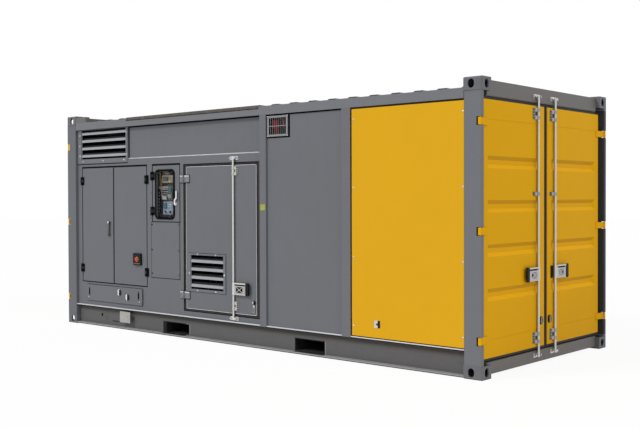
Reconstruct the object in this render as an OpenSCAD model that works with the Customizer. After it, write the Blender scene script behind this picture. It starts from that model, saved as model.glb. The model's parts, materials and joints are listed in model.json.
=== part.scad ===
// Containerized diesel generator set: a 20 foot ISO frame with hinged
// end doors, a control side with cubicle doors and a soundproof side door.
// +X runs along the length to the near door end, -Y is the control side, +Z is up.
// The origin is at the middle of the footprint, on the ground. Millimetres.

/* [Overall size] */
// Length over the corner castings
box_l = 6058; // [5400:1:12200]
// Width over the corner castings
box_w = 2438; // [2000:1:3000]
// Height over the corner castings
box_h = 2591; // [2500:1:3200]

/* [Corner castings] */
// Casting length, along the container
casting_l = 178; // [150:1:220]
// Casting width, across the container
casting_w = 162; // [140:1:200]
// Casting height
casting_h = 118; // [100:1:150]
// Thickness of the casting's top and bottom walls
casting_plate = 28; // [20:1:34]
// Thickness of the casting's side walls
casting_wall = 16; // [12:1:22]
// Length of the top and bottom slots
slot_l = 124; // [100:1:130]
// Width of every slot
slot_w = 63.5; // [50:0.5:70]
// Height of the slots in the side and end faces
side_slot_h = 79.4; // [70:0.1:82]
// Slot centre from the end face
slot_from_end = 102.5; // [90:0.5:110]
// Slot centre from the side face
slot_from_side = 89.5; // [80:0.5:95]
// Rounding of the outer edges
casting_r = 16; // [8:1:24]

/* [Frame] */
// How far posts and rails stand inside the casting faces
frame_inset = 4; // [2:1:10]
// Corner post width on the side
post_side_w = 173; // [140:1:200]
// Width of the post strip beside the doors
jamb_w = 44; // [36:1:60]
// Depth of the door rebate, from the casting face to the leaf
leaf_recess = 45; // [36:1:60]
// Reach of the post behind the door leaf, from the side face
stop_reach = 134; // [120:1:180]
// Top side rail height
top_rail_h = 92; // [70:1:130]
// Top side rail drop below the casting top
top_rail_drop = 88; // [60:1:120]
// Depth of the side rails and side posts
rail_d = 60; // [45:1:90]
// Height of the bottom side rail above the ground
rail_z = 252; // [220:1:300]
// Gap under the bottom side rail
rail_gap = 8; // [4:1:16]
// Thickness of the side posts' skirts over the bottom rail
skirt_t = 4; // [2:1:8]
// Thickness of the bottom rail's upper flange
flange_t = 14; // [8:1:20]
// Thickness of the bottom rail's lower flange
lower_flange_t = 18; // [10:1:24]
// Thickness of the bottom rail's web
web_t = 10; // [6:1:14]
// End header height
header_h = 139; // [100:1:170]
// End header drop below the casting top
header_drop = 16; // [8:1:40]
// End sill height
sill_h = 106; // [80:1:130]
// Gap under the end sill
sill_gap = 24; // [10:1:40]
// How far the header and sill reach over the leaf's edge from behind
stop_lap = 35; // [20:1:60]
// Bevel along the header's lower edge
header_bevel = 10; // [4:1:16]
// Length of the plates beside the rear roof corners
corner_plate_l = 210; // [150:1:300]

/* [Side posts] */
// First side post's left edge, from the far end
post_1_from_far = 3414; // [3412:1:3450]
// Width of the first side post
post_1_w = 90; // [60:1:120]
// Second side post's right edge, from the near end
post_2_from_near = 1437; // [1200:1:1500]
// Width of the second side post
post_2_w = 109; // [80:1:140]

/* [Forklift pockets] */
// Distance between the two pocket centres
pocket_pitch = 2000; // [1800:1:2200]
// Pocket centre offset from the middle
pocket_shift = 27; // [-60:1:60]
// Clear width of a pocket
pocket_w = 390; // [355:1:420]
// Clear height of a pocket
pocket_h = 118; // [115:1:140]
// Height of the pocket's lower inner face
pocket_z = 34; // [28:1:40]
// Wall of a pocket tube
pocket_t = 8; // [6:1:12]
// Height of the floor's cross members
beam_h = 120; // [80:1:140]
// Width of a cross member
beam_w = 60; // [40:1:80]
// Thickness of a cross member's flanges and web
beam_t = 6; // [4:1:10]
// Cross members in each of the three stretches beside the pockets
beams = 3; // [2:1:5]
// Floor plate thickness
floor_t = 6; // [4:1:10]

/* [Roof] */
// Roof sheet thickness
roof_t = 4; // [2:1:8]
// Height of the roof corrugations
roof_wave_h = 26; // [15:1:35]
// Pitch of the roof corrugations
roof_pitch = 255; // [200:1:300]
// Height of a crest above the top rail
roof_rise = 17; // [8:1:30]
// Left edge of the roof hatch, from the far end
hatch_from_far = 1194; // [800:1:1300]
// Length of the roof hatch
hatch_l = 2210; // [1800:1:2400]
// Height of the hatch edge
hatch_h = 43; // [30:1:60]
// How far the rails step down under the hatch
hatch_step = 28; // [15:1:40]
// Wall thickness of the hatch lid
hatch_t = 12; // [6:1:20]
// Rounding of the hatch's long edges
hatch_r = 14; // [6:1:20]

/* [Side walls] */
// Thickness of the sound-insulated walls
wall_t = 50; // [30:1:80]
// Recess of the control-side wall behind the casting face
wall_recess = 34; // [20:1:45]
// Recess of the upper panel behind the casting face
upper_recess = 51; // [40:1:60]
// Recess of the plain panels behind the casting face
panel_recess = 24; // [15:1:40]
// Height of the wall's sloped shoulder
wall_top_z = 2040; // [1990:1:2100]
// Underside of the air inlet panel
inlet_z = 1990; // [1960:1:2030]
// Right edge of the air inlet panel, from the far end
inlet_from_far = 1188; // [1150:1:1300]

/* [Vent grille] */
// Width of the vent grille
grille_w = 306; // [250:1:340]
// Height of the vent grille
grille_h = 228; // [180:1:260]
// Rim of the vent grille
grille_rim = 32; // [20:1:45]
// Slots in each row of the grille
grille_slots = 9; // [6:1:12]

/* [End doors] */
// Thickness of an end door leaf
leaf_t = 50; // [40:1:70]
// Leaf edge from the side face
leaf_side_gap = 99; // [85:1:115]
// Half of the gap between the two leaves
leaf_centre_gap = 30; // [24:1:40]
// Gap between leaf and header
leaf_top_gap = 28; // [20:1:40]
// Gap between leaf and sill
leaf_bottom_gap = 36; // [20:1:45]
// Number of pressed swages in a leaf
swages = 4; // [2:1:4]
// Depth of the pressed swages
swage_d = 22; // [10:1:30]
// Length of the slopes around a swage
swage_slope = 34; // [20:1:45]
// Start of the swages, from the middle of the end
swage_from_middle = 110; // [60:1:150]
// End of the swages, from the leaf's hinge edge
swage_from_edge = 80; // [70:1:150]
// Height of a swage
swage_h = 108; // [80:1:140]
// Distance between swages
swage_pitch = 385; // [300:1:420]
// Height of the lowest swage's centre
swage_z = 712; // [600:1:800]
// Width of the door seals' visible edge
seal_w = 22; // [15:1:26]
// Hinge pin from the end face
pin_u = 16; // [14:1:20]
// Hinge pin from the side face
pin_v = 13; // [12:1:18]
// Radius of the hinge knuckles
knuckle_r = 12; // [10:1:13]
// Height of a hinge knuckle
knuckle_h = 62; // [50:1:80]
// Radius of the hinge pins
pin_r = 6; // [5:0.5:7]
// Height of the hinge notches in the corner posts
notch_h = 74; // [66:1:100]
// Depth of the hinge notches, from the end face
notch_d = 50; // [46:1:60]
// Depth of the pin's holes above and below a notch
pin_bed = 22; // [12:1:40]

/* [Locking bars] */
// Radius of the end door bars
end_bar_r = 13; // [10:1:17]
// Radius of the side door bar
side_bar_r = 11; // [9:1:13]
// Left leaf's bar from the middle
left_bar_y = -178; // [-220:1:-165]
// Right leaf's bar from the middle
right_bar_y = 149; // [135:1:190]
// Height of the bar handles
end_handle_z = 850; // [700:1:1000]
// Reach of the bar handles
handle_reach = 240; // [200:1:300]
// Height of a bar handle's casting
handle_h = 136; // [110:1:150]
// Reach of the cams
cam_reach = 30; // [20:1:33]
// Play between a bar and its guide
bar_play = 0.4; // [0.3:0.1:0.8]
// Plate thickness of the guides
guide_t = 5; // [4:1:8]
// Reach of an end guide's bolt column from the bar's axis
guide_reach = 76; // [60:1:90]
// Reach of a side guide's bolt column from the bar's axis
side_guide_reach = 60; // [50:1:80]
// Height of the tall guides
guide_h = 106; // [90:1:130]
// Height of the slim middle guide
slim_guide_h = 36; // [28:1:50]
// Height of the slim guides' centre on the end doors
mid_guide_z = 1592; // [1500:1:1700]
// Half length of a keeper's base plate
keeper_half = 62; // [58:1:80]
// Clear half width between a keeper's ears
ear_in = 38; // [36:1:44]
// Thickness of a keeper's base plate
keeper_plate_t = 3; // [2:1:4]
// Height of a keeper's ears
ear_h = 30; // [24:1:33]
// Left leaf's small latch from the middle
left_latch_y = -97; // [-120:1:-68]
// Right leaf's small latch from the middle
right_latch_y = 68; // [68:1:80]
// Height of the small latches on the leaves
latch_z = 405; // [380:1:500]
// Yellow side panel's latch, from the second side post
panel_latch_in = 318; // [100:1:600]
// Yellow side panel's latch, above the bottom rail
panel_latch_up = 136; // [80:1:400]

/* [Cubicle doors] */
// Left edge of the cubicle opening, from the far end
cub_from_far = 273; // [250:1:290]
// Width of the cubicle opening
cub_w = 1270; // [1240:1:1290]
// Underside of the cubicle opening
cub_z0 = 535; // [520:1:600]
// Top of the cubicle opening
cub_z1 = 1949; // [1900:1:1965]
// Thickness of the cubicle and control doors
thin_leaf_t = 24; // [18:1:30]
// Gap around the cubicle and control doors
door_gap = 7; // [6:1:10]
// Gap above the cubicle and control doors
door_top_gap = 14; // [6:1:20]

/* [Control door] */
// Left edge of the control opening, from the far end
ctl_from_far = 1644; // [1635:1:1660]
// Width of the control opening
ctl_w = 484; // [470:1:500]
// Underside of the control opening
ctl_z0 = 1291; // [1280:1:1330]
// Top of the control opening
ctl_z1 = 1950; // [1900:1:1965]
// Window width
window_w = 312; // [250:1:340]
// Window height
window_h = 545; // [450:1:560]
// Window corner radius
window_r = 26; // [15:1:60]
// Window's left edge from the leaf's left edge
window_from_left = 66; // [50:1:80]
// Window's lower edge from the leaf's lower edge
window_from_bottom = 36; // [25:1:60]
// Depth of the control box
control_box_d = 210; // [160:1:300]
// Depth of the instrument board behind the wall's face
board_d = 90; // [80:1:120]
// Sheet thickness of the control box
box_t = 3; // [2:1:5]

/* [Side door] */
// Left edge of the side door opening, from the far end
sd_from_far = 2191; // [2175:1:2196]
// Width of the side door opening
sd_w = 1215; // [1150:1:1220]
// Underside of the side door opening
sd_z0 = 308; // [300:1:320]
// Top of the side door opening
sd_z1 = 1940; // [1900:1:1950]
// Width of the rubber frame seen beside the leaf
sd_seal_side = 32; // [20:1:40]
// Width of that frame on the side away from the hinges
sd_seal_wide = 57; // [40:1:64]
// Width of the rubber frame seen above and below the leaf
sd_seal_end = 20; // [12:1:30]
// Gap between the rubber frame and the leaf
sd_gap = 8; // [6:1:12]
// Bar centre, from the left edge of the side door opening
side_bar_from_edge = 816; // [600:1:860]
// Height of the side door's handle
side_handle_z = 603; // [500:1:800]

/* [Louvres] */
// Left edge of the side door louvre frame, from the door opening's edge
sdl_from_edge = 83; // [75:1:120]
// Underside of the side door louvre frame
sdl_z = 532; // [500:1:600]
// Width of the side door louvre frame
sdl_w = 599; // [500:1:610]
// Height of the side door louvre frame
sdl_h = 422; // [380:1:460]
// Left edge of the inlet louvre frame, from the far end
inl_from_far = 192; // [170:1:300]
// Width of the visible louvre rim
louvre_rim = 32; // [24:1:60]
// Blades in each louvre
blades = 4; // [3:1:6]
// Blade thickness
blade_t = 4; // [3:1:6]
// Gap under the lowest blade
blade_gap = 24; // [8:1:30]
// Height of a blade's front lip
blade_lip = 26; // [15:1:32]
// Depth of a blade
blade_depth = 36; // [24:1:44]
// Rise of a blade from front to back
blade_rise = 30; // [15:1:40]

/* [Covers] */
// Height of the service plate's lower edge
plate_z = 653; // [600:1:700]
// Height of the service plate
plate_h = 635; // [500:1:640]
// Sheet thickness of the service plate
plate_t = 3; // [2:1:5]
// Cable cover's left edge, from the cubicle opening's left edge
cover_inset = 96; // [60:1:120]
// Width of the cable cover
cover_w = 1090; // [900:1:1120]
// Height of the cable cover's lower edge
cover_z = 308; // [290:1:330]
// Height of the cable cover
cover_h = 194; // [150:1:220]
// Depth of the cable cover
cover_d = 16; // [8:1:24]

/* [Hidden] */

paint_grey = "#6c6e74";
paint_dark = "#5a5856";
paint_yellow = "#d29a12";
zinc = "#c8c6c3";
rubber_black = "#1c1c1e";
signal_red = "#b01418";

half_l = box_l / 2;
half_w = box_w / 2;
cut = 1;
run_gap = 0.08;

post_x1 = half_l - frame_inset;
post_y = half_w - frame_inset;
post_in_x = half_l - post_side_w;
post_1_x = post_1_from_far - half_l;
post_2_x = half_l - post_2_from_near - post_2_w;
rail_l = box_l - 2 * casting_l;
rail_top_z = box_h - top_rail_drop;
rail_low_z = rail_top_z - top_rail_h;
rail_in_y = post_y - rail_d;
wall_y = half_w - wall_recess;
upper_y = half_w - upper_recess;
panel_y = half_w - panel_recess;
leaf_x = half_l - leaf_recess;
leaf_y1 = half_w - leaf_side_gap;
header_z1 = box_h - header_drop;
header_z0 = header_z1 - header_h;
sill_z1 = sill_gap + sill_h;
leaf_z0 = sill_z1 + leaf_bottom_gap;
leaf_z1 = header_z0 - leaf_top_gap;
stop_x = leaf_x - leaf_t - 12;
floor_z = rail_z - flange_t;
hatch_x = hatch_from_far - half_l;
inlet_x1 = inlet_from_far - half_l;
inl_x = inl_from_far - half_l;
cub_x0 = cub_from_far - half_l;
cub_x1 = cub_x0 + cub_w;
cub_mid = cub_x0 + cub_w / 2 + 3;
ctl_x0 = ctl_from_far - half_l;
ctl_x1 = ctl_x0 + ctl_w;
sd_x0 = sd_from_far - half_l;
sd_x1 = sd_x0 + sd_w;
side_bar_x = sd_x0 + side_bar_from_edge;
grille_x = post_1_x + post_1_w + 2;
grille_z = rail_low_z - grille_h - 7;
pin_x = half_l - pin_u;
pin_y = half_w - pin_v;
hinge_zs = [leaf_z0 + 165, (leaf_z0 + leaf_z1) / 2 - 16, leaf_z1 - 198];

// ---------------------------------------------------------------- helpers

module both_sides() {
    children();
    mirror([0, 1, 0]) children();
}

module both_ends() {
    children();
    mirror([1, 0, 0]) children();
}

// A box between two corners.
module block(low, high) {
    translate(low) cube(high - low);
}

// A flat rectangle with rounded corners, from its lower left corner.
module round_rect(w, h, r) {
    translate([r, 0]) square([w - 2 * r, h]);
    translate([0, r]) square([w, h - 2 * r]);
    for (x = [r, w - r], y = [r, h - r]) translate([x, y]) circle(r, $fn = 48);
}

// A slot centred on the origin, lying along X.
module slot(l, w) {
    square([l - w, w], center = true);
    for (s = [-1, 1]) translate([s * (l - w) / 2, 0]) circle(w / 2, $fn = 64);
}

// Lays a drawing on a side face: X stays, the drawing's Y becomes Z, and it
// grows outward (towards -Y) from depth y by t.
module on_side(y, t) {
    translate([0, -y, 0]) rotate([90, 0, 0]) linear_extrude(t) children();
}

// Lays a drawing on an end face: the drawing's X becomes Y, its Y becomes Z,
// and it grows outward (towards +X) from x by t.
module on_end(x, t) {
    translate([x, 0, 0]) rotate([90, 0, 90]) linear_extrude(t) children();
}

// Extrudes a drawing in the YZ plane along the container, between two x values.
module along_x(x0, x1) {
    translate([x0, 0, 0]) rotate([90, 0, 90]) linear_extrude(x1 - x0) children();
}

// Extrudes a drawing in the XZ plane across the container, out to y on both sides.
module across(y) {
    translate([0, y, 0]) rotate([90, 0, 0]) linear_extrude(2 * y) children();
}

// Extrudes a plan drawing upward between two heights.
module upright(z0, z1) {
    translate([0, 0, z0]) linear_extrude(z1 - z0) children();
}

// Turns a fitting drawn on the XY plane, standing up along Z, onto the control
// side: X stays, Y becomes Z and Z becomes -Y.
module fit_side(x, z, y) {
    translate([x, -y, z]) rotate([90, 0, 0]) children();
}

// The same on the near end's leaves: X becomes Y, Y becomes Z and Z becomes X.
module fit_end(y, z) {
    translate([leaf_x, y, z]) rotate([90, 0, 90]) children();
}

// ---------------------------------------------------------------- frame

// One bottom casting at the near control-side corner.
module casting() {
    x0 = half_l - casting_l;
    y0 = -half_w;
    sx = half_l - slot_from_end;
    sy = -half_w + slot_from_side;
    difference() {
        intersection() {
            upright(0, casting_h) translate([x0 - casting_r, y0])
                round_rect(casting_l + casting_r, casting_w + casting_r, casting_r);
            along_x(x0, half_l) translate([y0, 0])
                round_rect(casting_w + casting_r, casting_h + casting_r, casting_r);
            block([x0, y0, 0], [half_l, y0 + casting_w, casting_h]);
        }
        block([x0 + casting_wall, y0 + casting_wall, casting_plate],
            [half_l - casting_wall, y0 + casting_w - casting_wall, casting_h - casting_wall]);
        translate([sx, sy, -cut]) linear_extrude(casting_plate + 2 * cut) slot(slot_l, slot_w);
        on_side(half_w - casting_wall - cut, casting_wall + 2 * cut)
            translate([sx, casting_h / 2]) rotate(90) slot(side_slot_h, slot_w);
        on_end(half_l - casting_wall - cut, casting_wall + 2 * cut)
            translate([sy, casting_h / 2]) rotate(90) slot(side_slot_h, slot_w);
    }
}

module corner_castings() {
    color(paint_grey) both_ends() both_sides() {
        casting();
        translate([0, 0, box_h]) mirror([0, 0, 1]) casting();
    }
}

// Plan of a corner post: a strip beside the door and a leg behind the leaf.
module post_plan() {
    x1 = post_x1;
    y0 = -post_y;
    polygon([[post_in_x, y0], [x1, y0], [x1, y0 + jamb_w], [stop_x, y0 + jamb_w],
        [stop_x, -half_w + stop_reach], [post_in_x, -half_w + stop_reach]]);
}

module corner_post() {
    difference() {
        upright(casting_h, box_h - casting_h) post_plan();
        for (z = hinge_zs) {
            block([half_l - notch_d, -half_w - cut, z - notch_h / 2],
                [half_l + cut, -post_y + jamb_w + cut, z + notch_h / 2]);
            translate([pin_x, -pin_y, z - notch_h / 2 - pin_bed])
                cylinder(r = pin_r + run_gap, h = notch_h + 2 * pin_bed, $fn = 48);
        }
    }
}

module corner_posts() {
    color(paint_grey) both_ends() both_sides() corner_post();
}

// Section of the bottom side rail: a channel with its open side outward.
module bottom_rail_section() {
    y0 = -post_y;
    y1 = -rail_in_y;
    top_y = y0 + skirt_t;
    polygon([[top_y, rail_z], [y1, rail_z], [y1, rail_gap], [y0, rail_gap],
        [y0, rail_gap + lower_flange_t], [y1 - web_t, rail_gap + lower_flange_t],
        [y1 - web_t, rail_z - flange_t], [top_y, rail_z - flange_t]]);
}

// Outline of a forklift pocket's tube, seen from the side.
module pocket_outline(x, t) {
    translate([x - pocket_w / 2 - t, pocket_z - t]) square([pocket_w + 2 * t, pocket_h + 2 * t]);
}

module bottom_side_rails() {
    color(paint_dark) both_sides() difference() {
        along_x(-rail_l / 2, rail_l / 2) bottom_rail_section();
        for (x = pocket_xs) on_side(rail_in_y - cut, rail_d / 2) pocket_outline(x, pocket_t);
    }
}

module top_side_rails() {
    color(paint_grey) both_sides() difference() {
        block([-rail_l / 2, -post_y, rail_low_z], [rail_l / 2, -rail_in_y, rail_top_z]);
        block([hatch_x, -post_y - cut, rail_top_z - hatch_step],
            [hatch_x + hatch_l, -rail_in_y + cut, rail_top_z + cut]);
    }
}

// Header with a lip that hangs down behind the leaves.
module end_header() {
    x0 = rail_l / 2;
    z_stop = leaf_z1 - stop_lap;
    b = header_bevel;
    across(half_w - casting_w) polygon([[x0, header_z1], [x0, z_stop], [stop_x, z_stop],
        [stop_x, header_z0], [leaf_x - b, header_z0], [leaf_x, header_z0 + b], [leaf_x, header_z1]]);
}

// Sill with a threshold behind the leaves that meets the floor.
module end_sill() {
    x0 = rail_l / 2;
    across(half_w - casting_w) polygon([[x0, sill_gap], [leaf_x, sill_gap], [leaf_x, sill_z1],
        [stop_x, sill_z1], [stop_x, floor_z], [x0, floor_z]]);
}

// Plates that guard the roof beside the far corner castings.
module roof_corner_plates() {
    x0 = -half_l + casting_l;
    both_sides() block([x0, -post_y, rail_top_z], [x0 + corner_plate_l, -rail_in_y, box_h - 20]);
}

module end_rails() {
    color(paint_grey) {
        both_ends() {
            end_header();
            end_sill();
        }
        roof_corner_plates();
    }
}

// One side post with a skirt over the edge of the rail's flange.
module side_post(x, w) {
    block([x, -post_y, rail_z], [x + w, -rail_in_y, rail_low_z]);
    block([x, -post_y, rail_z - flange_t], [x + w, -post_y + skirt_t, rail_z]);
}

module side_posts() {
    color(paint_grey) both_sides() {
        side_post(post_1_x, post_1_w);
        side_post(post_2_x, post_2_w);
    }
}

// ---------------------------------------------------------------- floor and roof

beam_z = floor_z - floor_t - beam_h;
pocket_xs = [pocket_shift - pocket_pitch / 2, pocket_shift + pocket_pitch / 2];
tube_half = pocket_w / 2 + pocket_t;
// The three stretches of floor beside the pocket tubes.
floor_bays = [[-rail_l / 2, pocket_xs[0] - tube_half], [pocket_xs[0] + tube_half, pocket_xs[1] - tube_half],
    [pocket_xs[1] + tube_half, rail_l / 2]];

module pocket_tube(x) {
    across(rail_in_y + web_t) difference() {
        pocket_outline(x, pocket_t);
        pocket_outline(x, 0);
    }
}

// Cross member: a channel between the side rails, open towards +X.
module cross_member(x) {
    t = beam_t;
    translate([x, 0, beam_z]) across(rail_in_y) polygon([[0, 0], [beam_w, 0], [beam_w, t], [t, t],
        [t, beam_h - t], [beam_w, beam_h - t], [beam_w, beam_h], [0, beam_h]]);
}

module underframe() {
    color(paint_dark) {
        for (x = pocket_xs) pocket_tube(x);
        for (bay = floor_bays, i = [1 : beams])
            cross_member(bay[0] + (bay[1] - bay[0]) * i / (beams + 1) - beam_w / 2);
    }
}

module floor() {
    x = rail_l / 2;
    color(paint_dark) block([-x, -rail_in_y, floor_z - floor_t], [x, rail_in_y, floor_z]);
}

// Height of the corrugated roof at x, for a crest height. The wave repeats with
// the pitch: crest, slope down, trough, slope up.
function wave(x, crest) = let (p = roof_pitch, f = ((x % p) + p) % p)
    f < p * 0.35 ? crest :
    f < p * 0.5 ? crest - roof_wave_h * (f - p * 0.35) / (p * 0.15) :
    f < p * 0.85 ? crest - roof_wave_h :
    crest - roof_wave_h * (p - f) / (p * 0.15);

// Corner points of the corrugation that fall between two x values.
function wave_xs(x0, x1) = let (p = roof_pitch) concat([x0],
    [for (k = [floor(x0 / p) : ceil(x1 / p)], f = [0, 0.35, 0.5, 0.85])
        let (x = (k + f) * p) if (x > x0 + 1 && x < x1 - 1) x], [x1]);

module roof_sheet(x0, x1) {
    crest = rail_top_z + roof_rise;
    xs = wave_xs(x0, x1);
    upper = [for (x = xs) [x, wave(x, crest)]];
    lower = [for (i = [len(xs) - 1 : -1 : 0]) [xs[i], wave(xs[i], crest) - roof_t]];
    across(rail_in_y) polygon(concat(upper, lower));
}

module roof() {
    x = rail_l / 2;
    color(paint_grey) {
        roof_sheet(-x, hatch_x);
        roof_sheet(hatch_x + hatch_l, x);
    }
}

// Lid over the middle of the roof, with rounded long edges.
module roof_hatch() {
    z0 = rail_top_z - hatch_step;
    w = 2 * (post_y - 2);
    color("#5c534a") along_x(hatch_x + 2, hatch_x + hatch_l - 2) difference() {
        translate([-w / 2, z0]) round_rect(w, hatch_h, hatch_r);
        translate([-w / 2 + hatch_t, z0 - cut])
            square([w - 2 * hatch_t, hatch_h - hatch_t + cut]);
    }
}

// ---------------------------------------------------------------- walls

// A plain wall panel on the control side between two x values.
module wall_panel(x0, x1, y, z0, z1) {
    block([x0, -y, z0], [x1, -y + wall_t, z1]);
}

module side_panels() {
    bay_x0 = post_1_x + post_1_w;
    rim = grille_rim;
    color(paint_grey) {
        wall_panel(inlet_x1, post_1_x, upper_y, wall_top_z, rail_low_z);
        difference() {
            wall_panel(bay_x0, post_2_x, panel_y, rail_z, rail_low_z);
            on_side(panel_y - wall_t - cut, wall_t + 2 * cut) translate([grille_x + rim, grille_z + rim])
                square([grille_w - 2 * rim, grille_h - 2 * rim]);
        }
        mirror([0, 1, 0]) {
            wall_panel(-post_in_x, post_1_x, panel_y, rail_z, rail_low_z);
            wall_panel(bay_x0, post_2_x, panel_y, rail_z, rail_low_z);
        }
    }
}

// Wall with a sloped shoulder at its top.
module shoulder_wall(x0, x1, z0) {
    slope = upper_recess - wall_recess;
    along_x(x0, x1) polygon([[-wall_y, z0], [-wall_y + wall_t, z0], [-wall_y + wall_t, wall_top_z],
        [-wall_y + slope, wall_top_z], [-wall_y, wall_top_z - slope * 0.7]]);
}

module wall_uprights() {
    color(paint_grey) {
        wall_panel(-post_in_x, cub_x0, wall_y, rail_z, inlet_z);
        shoulder_wall(cub_x1, ctl_x0, rail_z);
        shoulder_wall(ctl_x1, sd_x0, rail_z);
        shoulder_wall(sd_x1, post_1_x, rail_z);
    }
}

module wall_infills() {
    color(paint_grey) {
        union() {
            wall_panel(cub_x0, inlet_x1, wall_y, cub_z1, inlet_z);
            shoulder_wall(inlet_x1, cub_x1, cub_z1);
        }
        shoulder_wall(ctl_x0, ctl_x1, ctl_z1);
        shoulder_wall(sd_x0, sd_x1, sd_z1);
        wall_panel(cub_x0, cub_x1, wall_y, rail_z, cub_z0);
        wall_panel(ctl_x0, ctl_x1, wall_y, rail_z, ctl_z0);
        wall_panel(sd_x0, sd_x1, wall_y, rail_z, sd_z0);
    }
}

// Sheet set on a backing that fills the bay, with a shadow gap around it.
module yellow_side_panels() {
    x0 = post_2_x + post_2_w;
    back_y = post_y - 10;
    color(paint_yellow) both_sides() union() {
        block([x0 + 12, -post_y + 2, rail_z + 10], [post_in_x - 2, -back_y, rail_low_z - 6]);
        wall_panel(x0, post_in_x, back_y, rail_z, rail_low_z);
    }
}

// ---------------------------------------------------------------- louvres and grille

// A blade's outline: a front lip, then a slope up and inward.
module blade_section() {
    drop = blade_t / cos(atan2(blade_rise, blade_depth));
    top = blade_lip + blade_rise;
    polygon([[0, 0], [0, blade_lip], [blade_depth, top], [blade_depth, top - drop],
        [blade_t, blade_lip + blade_rise * blade_t / blade_depth - drop], [blade_t, 0]]);
}

// Blades across an opening whose lower left corner is x, z, with their lips at
// depth y and a gap over the top one.
module louvre_blades(x, z, w, h, y, over) {
    pitch = (h - blade_gap - over - blade_lip - blade_rise - cut) / (blades - 1);
    for (i = [0 : blades - 1])
        along_x(x, x + w) translate([-y, z + blade_gap + i * pitch]) blade_section();
}

module inlet_louvre() {
    z1 = rail_low_z;
    frame_t = 6;
    ix = inl_x + 72;
    iz = inlet_z + 58;
    iw = inlet_x1 - louvre_rim - ix;
    ih = z1 - frame_t - iz;
    color(paint_grey) {
        difference() {
            union() {
                wall_panel(-post_in_x, inlet_x1, wall_y, inlet_z, z1);
                block([inl_x, -wall_y - frame_t, inlet_z + 5], [inlet_x1, -wall_y, z1 - 2]);
            }
            on_side(wall_y - wall_t - cut, wall_t + 2 * frame_t)
                translate([ix, iz]) square([iw, ih]);
        }
        louvre_blades(ix - cut, iz, iw + 2 * cut, ih, wall_y - 2, 0);
    }
}

module vent_grille() {
    rim = grille_rim;
    rows = 2;
    bar = 12;
    row_h = (grille_h - 2 * rim - bar) / rows;
    pitch = (grille_w - 2 * rim) / grille_slots;
    open_w = pitch * 0.58;
    color("#a9a9a6") translate([grille_x, 0, grille_z]) difference() {
        on_side(panel_y, 8) round_rect(grille_w, grille_h, 4);
        on_side(panel_y - cut, 20) for (i = [0 : grille_slots - 1], j = [0 : rows - 1])
            translate([rim + (i + 0.5) * pitch - open_w / 2, rim + j * (row_h + bar)])
                square([open_w, row_h]);
    }
}

// Warning lamp behind the grille: a base, a lens and its domed top.
module beacon() {
    r = 24;
    base_h = 50;
    lens_h = 40;
    color(signal_red) translate([grille_x + grille_w * 0.36, -panel_y + r + 2, grille_z + grille_rim]) {
        cylinder(r = r - 4, h = base_h, $fn = 48);
        translate([0, 0, base_h]) cylinder(r = r, h = lens_h, $fn = 48);
        translate([0, 0, base_h + lens_h]) intersection() {
            sphere(r, $fn = 48);
            block([-r, -r, 0], [r, r, r]);
        }
    }
}

// ---------------------------------------------------------------- covers and controls

// A quarter-turn latch standing on the XY plane: a base disc and a slotted boss.
module turn_latch(r, h) {
    cylinder(r = r, h = h / 3, $fn = 48);
    difference() {
        cylinder(r = r * 0.6, h = h, $fn = 48);
        translate([0, 0, h]) cube([r * 1.5, r * 0.22, h / 2], center = true);
    }
}

cover_x = cub_x0 + cover_inset;
cover_slot = [20, 94];
cover_slot_in = 62;
cover_latches = [[0.613, 0.66], [0.755, 0.42]];

// A paddle latch on the XY plane: a floor with a raised ring around it and a
// paddle across the ring, off its middle by dx.
module paddle_latch(dx) {
    w = 62;
    h = 74;
    ring = 5;
    paddle = 17;
    linear_extrude(2) translate([-w / 2, -h / 2]) round_rect(w, h, 26);
    linear_extrude(8) difference() {
        translate([-w / 2, -h / 2]) round_rect(w, h, 26);
        translate([ring - w / 2, ring - h / 2]) round_rect(w - 2 * ring, h - 2 * ring, 21);
    }
    linear_extrude(12) translate([dx - paddle / 2, 1 + ring - h / 2])
        round_rect(paddle, h - 2 * ring - 2, 8);
}

module cable_cover() {
    mid_z = cover_z + cover_h * 0.6;
    difference() {
        on_side(wall_y, cover_d) translate([cover_x, cover_z]) round_rect(cover_w, cover_h, 8);
        for (x = [cover_x + cover_slot_in, cover_x + cover_w - cover_slot_in])
            on_side(wall_y - cut, cover_d + 2 * cut)
                translate([x, mid_z]) rotate(90) slot(cover_slot[1], cover_slot[0]);
    }
    for (f = cover_latches)
        fit_side(cover_x + cover_w * f[0], cover_z + cover_h * f[1], wall_y + cover_d)
            paddle_latch(-9);
}

module lower_covers() {
    color(paint_grey) {
        on_side(wall_y, plate_t) translate([ctl_x0 - 16, plate_z]) round_rect(ctl_w + 8, plate_h, 6);
        cable_cover();
    }
}

module control_box() {
    t = box_t;
    y0 = wall_y - thin_leaf_t - 10;
    color("#3a3c40") difference() {
        block([ctl_x0, -y0, ctl_z0], [ctl_x1, -wall_y + control_box_d, ctl_z1]);
        block([ctl_x0 + t, -y0 - cut, ctl_z0 + t], [ctl_x1 - t, -wall_y + control_box_d - t, ctl_z1 - t]);
    }
}

// An instrument on the board: lower left corner from the control opening's own,
// with its width, height and depth.
module instrument(x, z, w, h, d) {
    on_side(wall_y - board_d, d) translate([ctl_x0 + x, ctl_z0 + z]) round_rect(w, h, 4);
}

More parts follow.
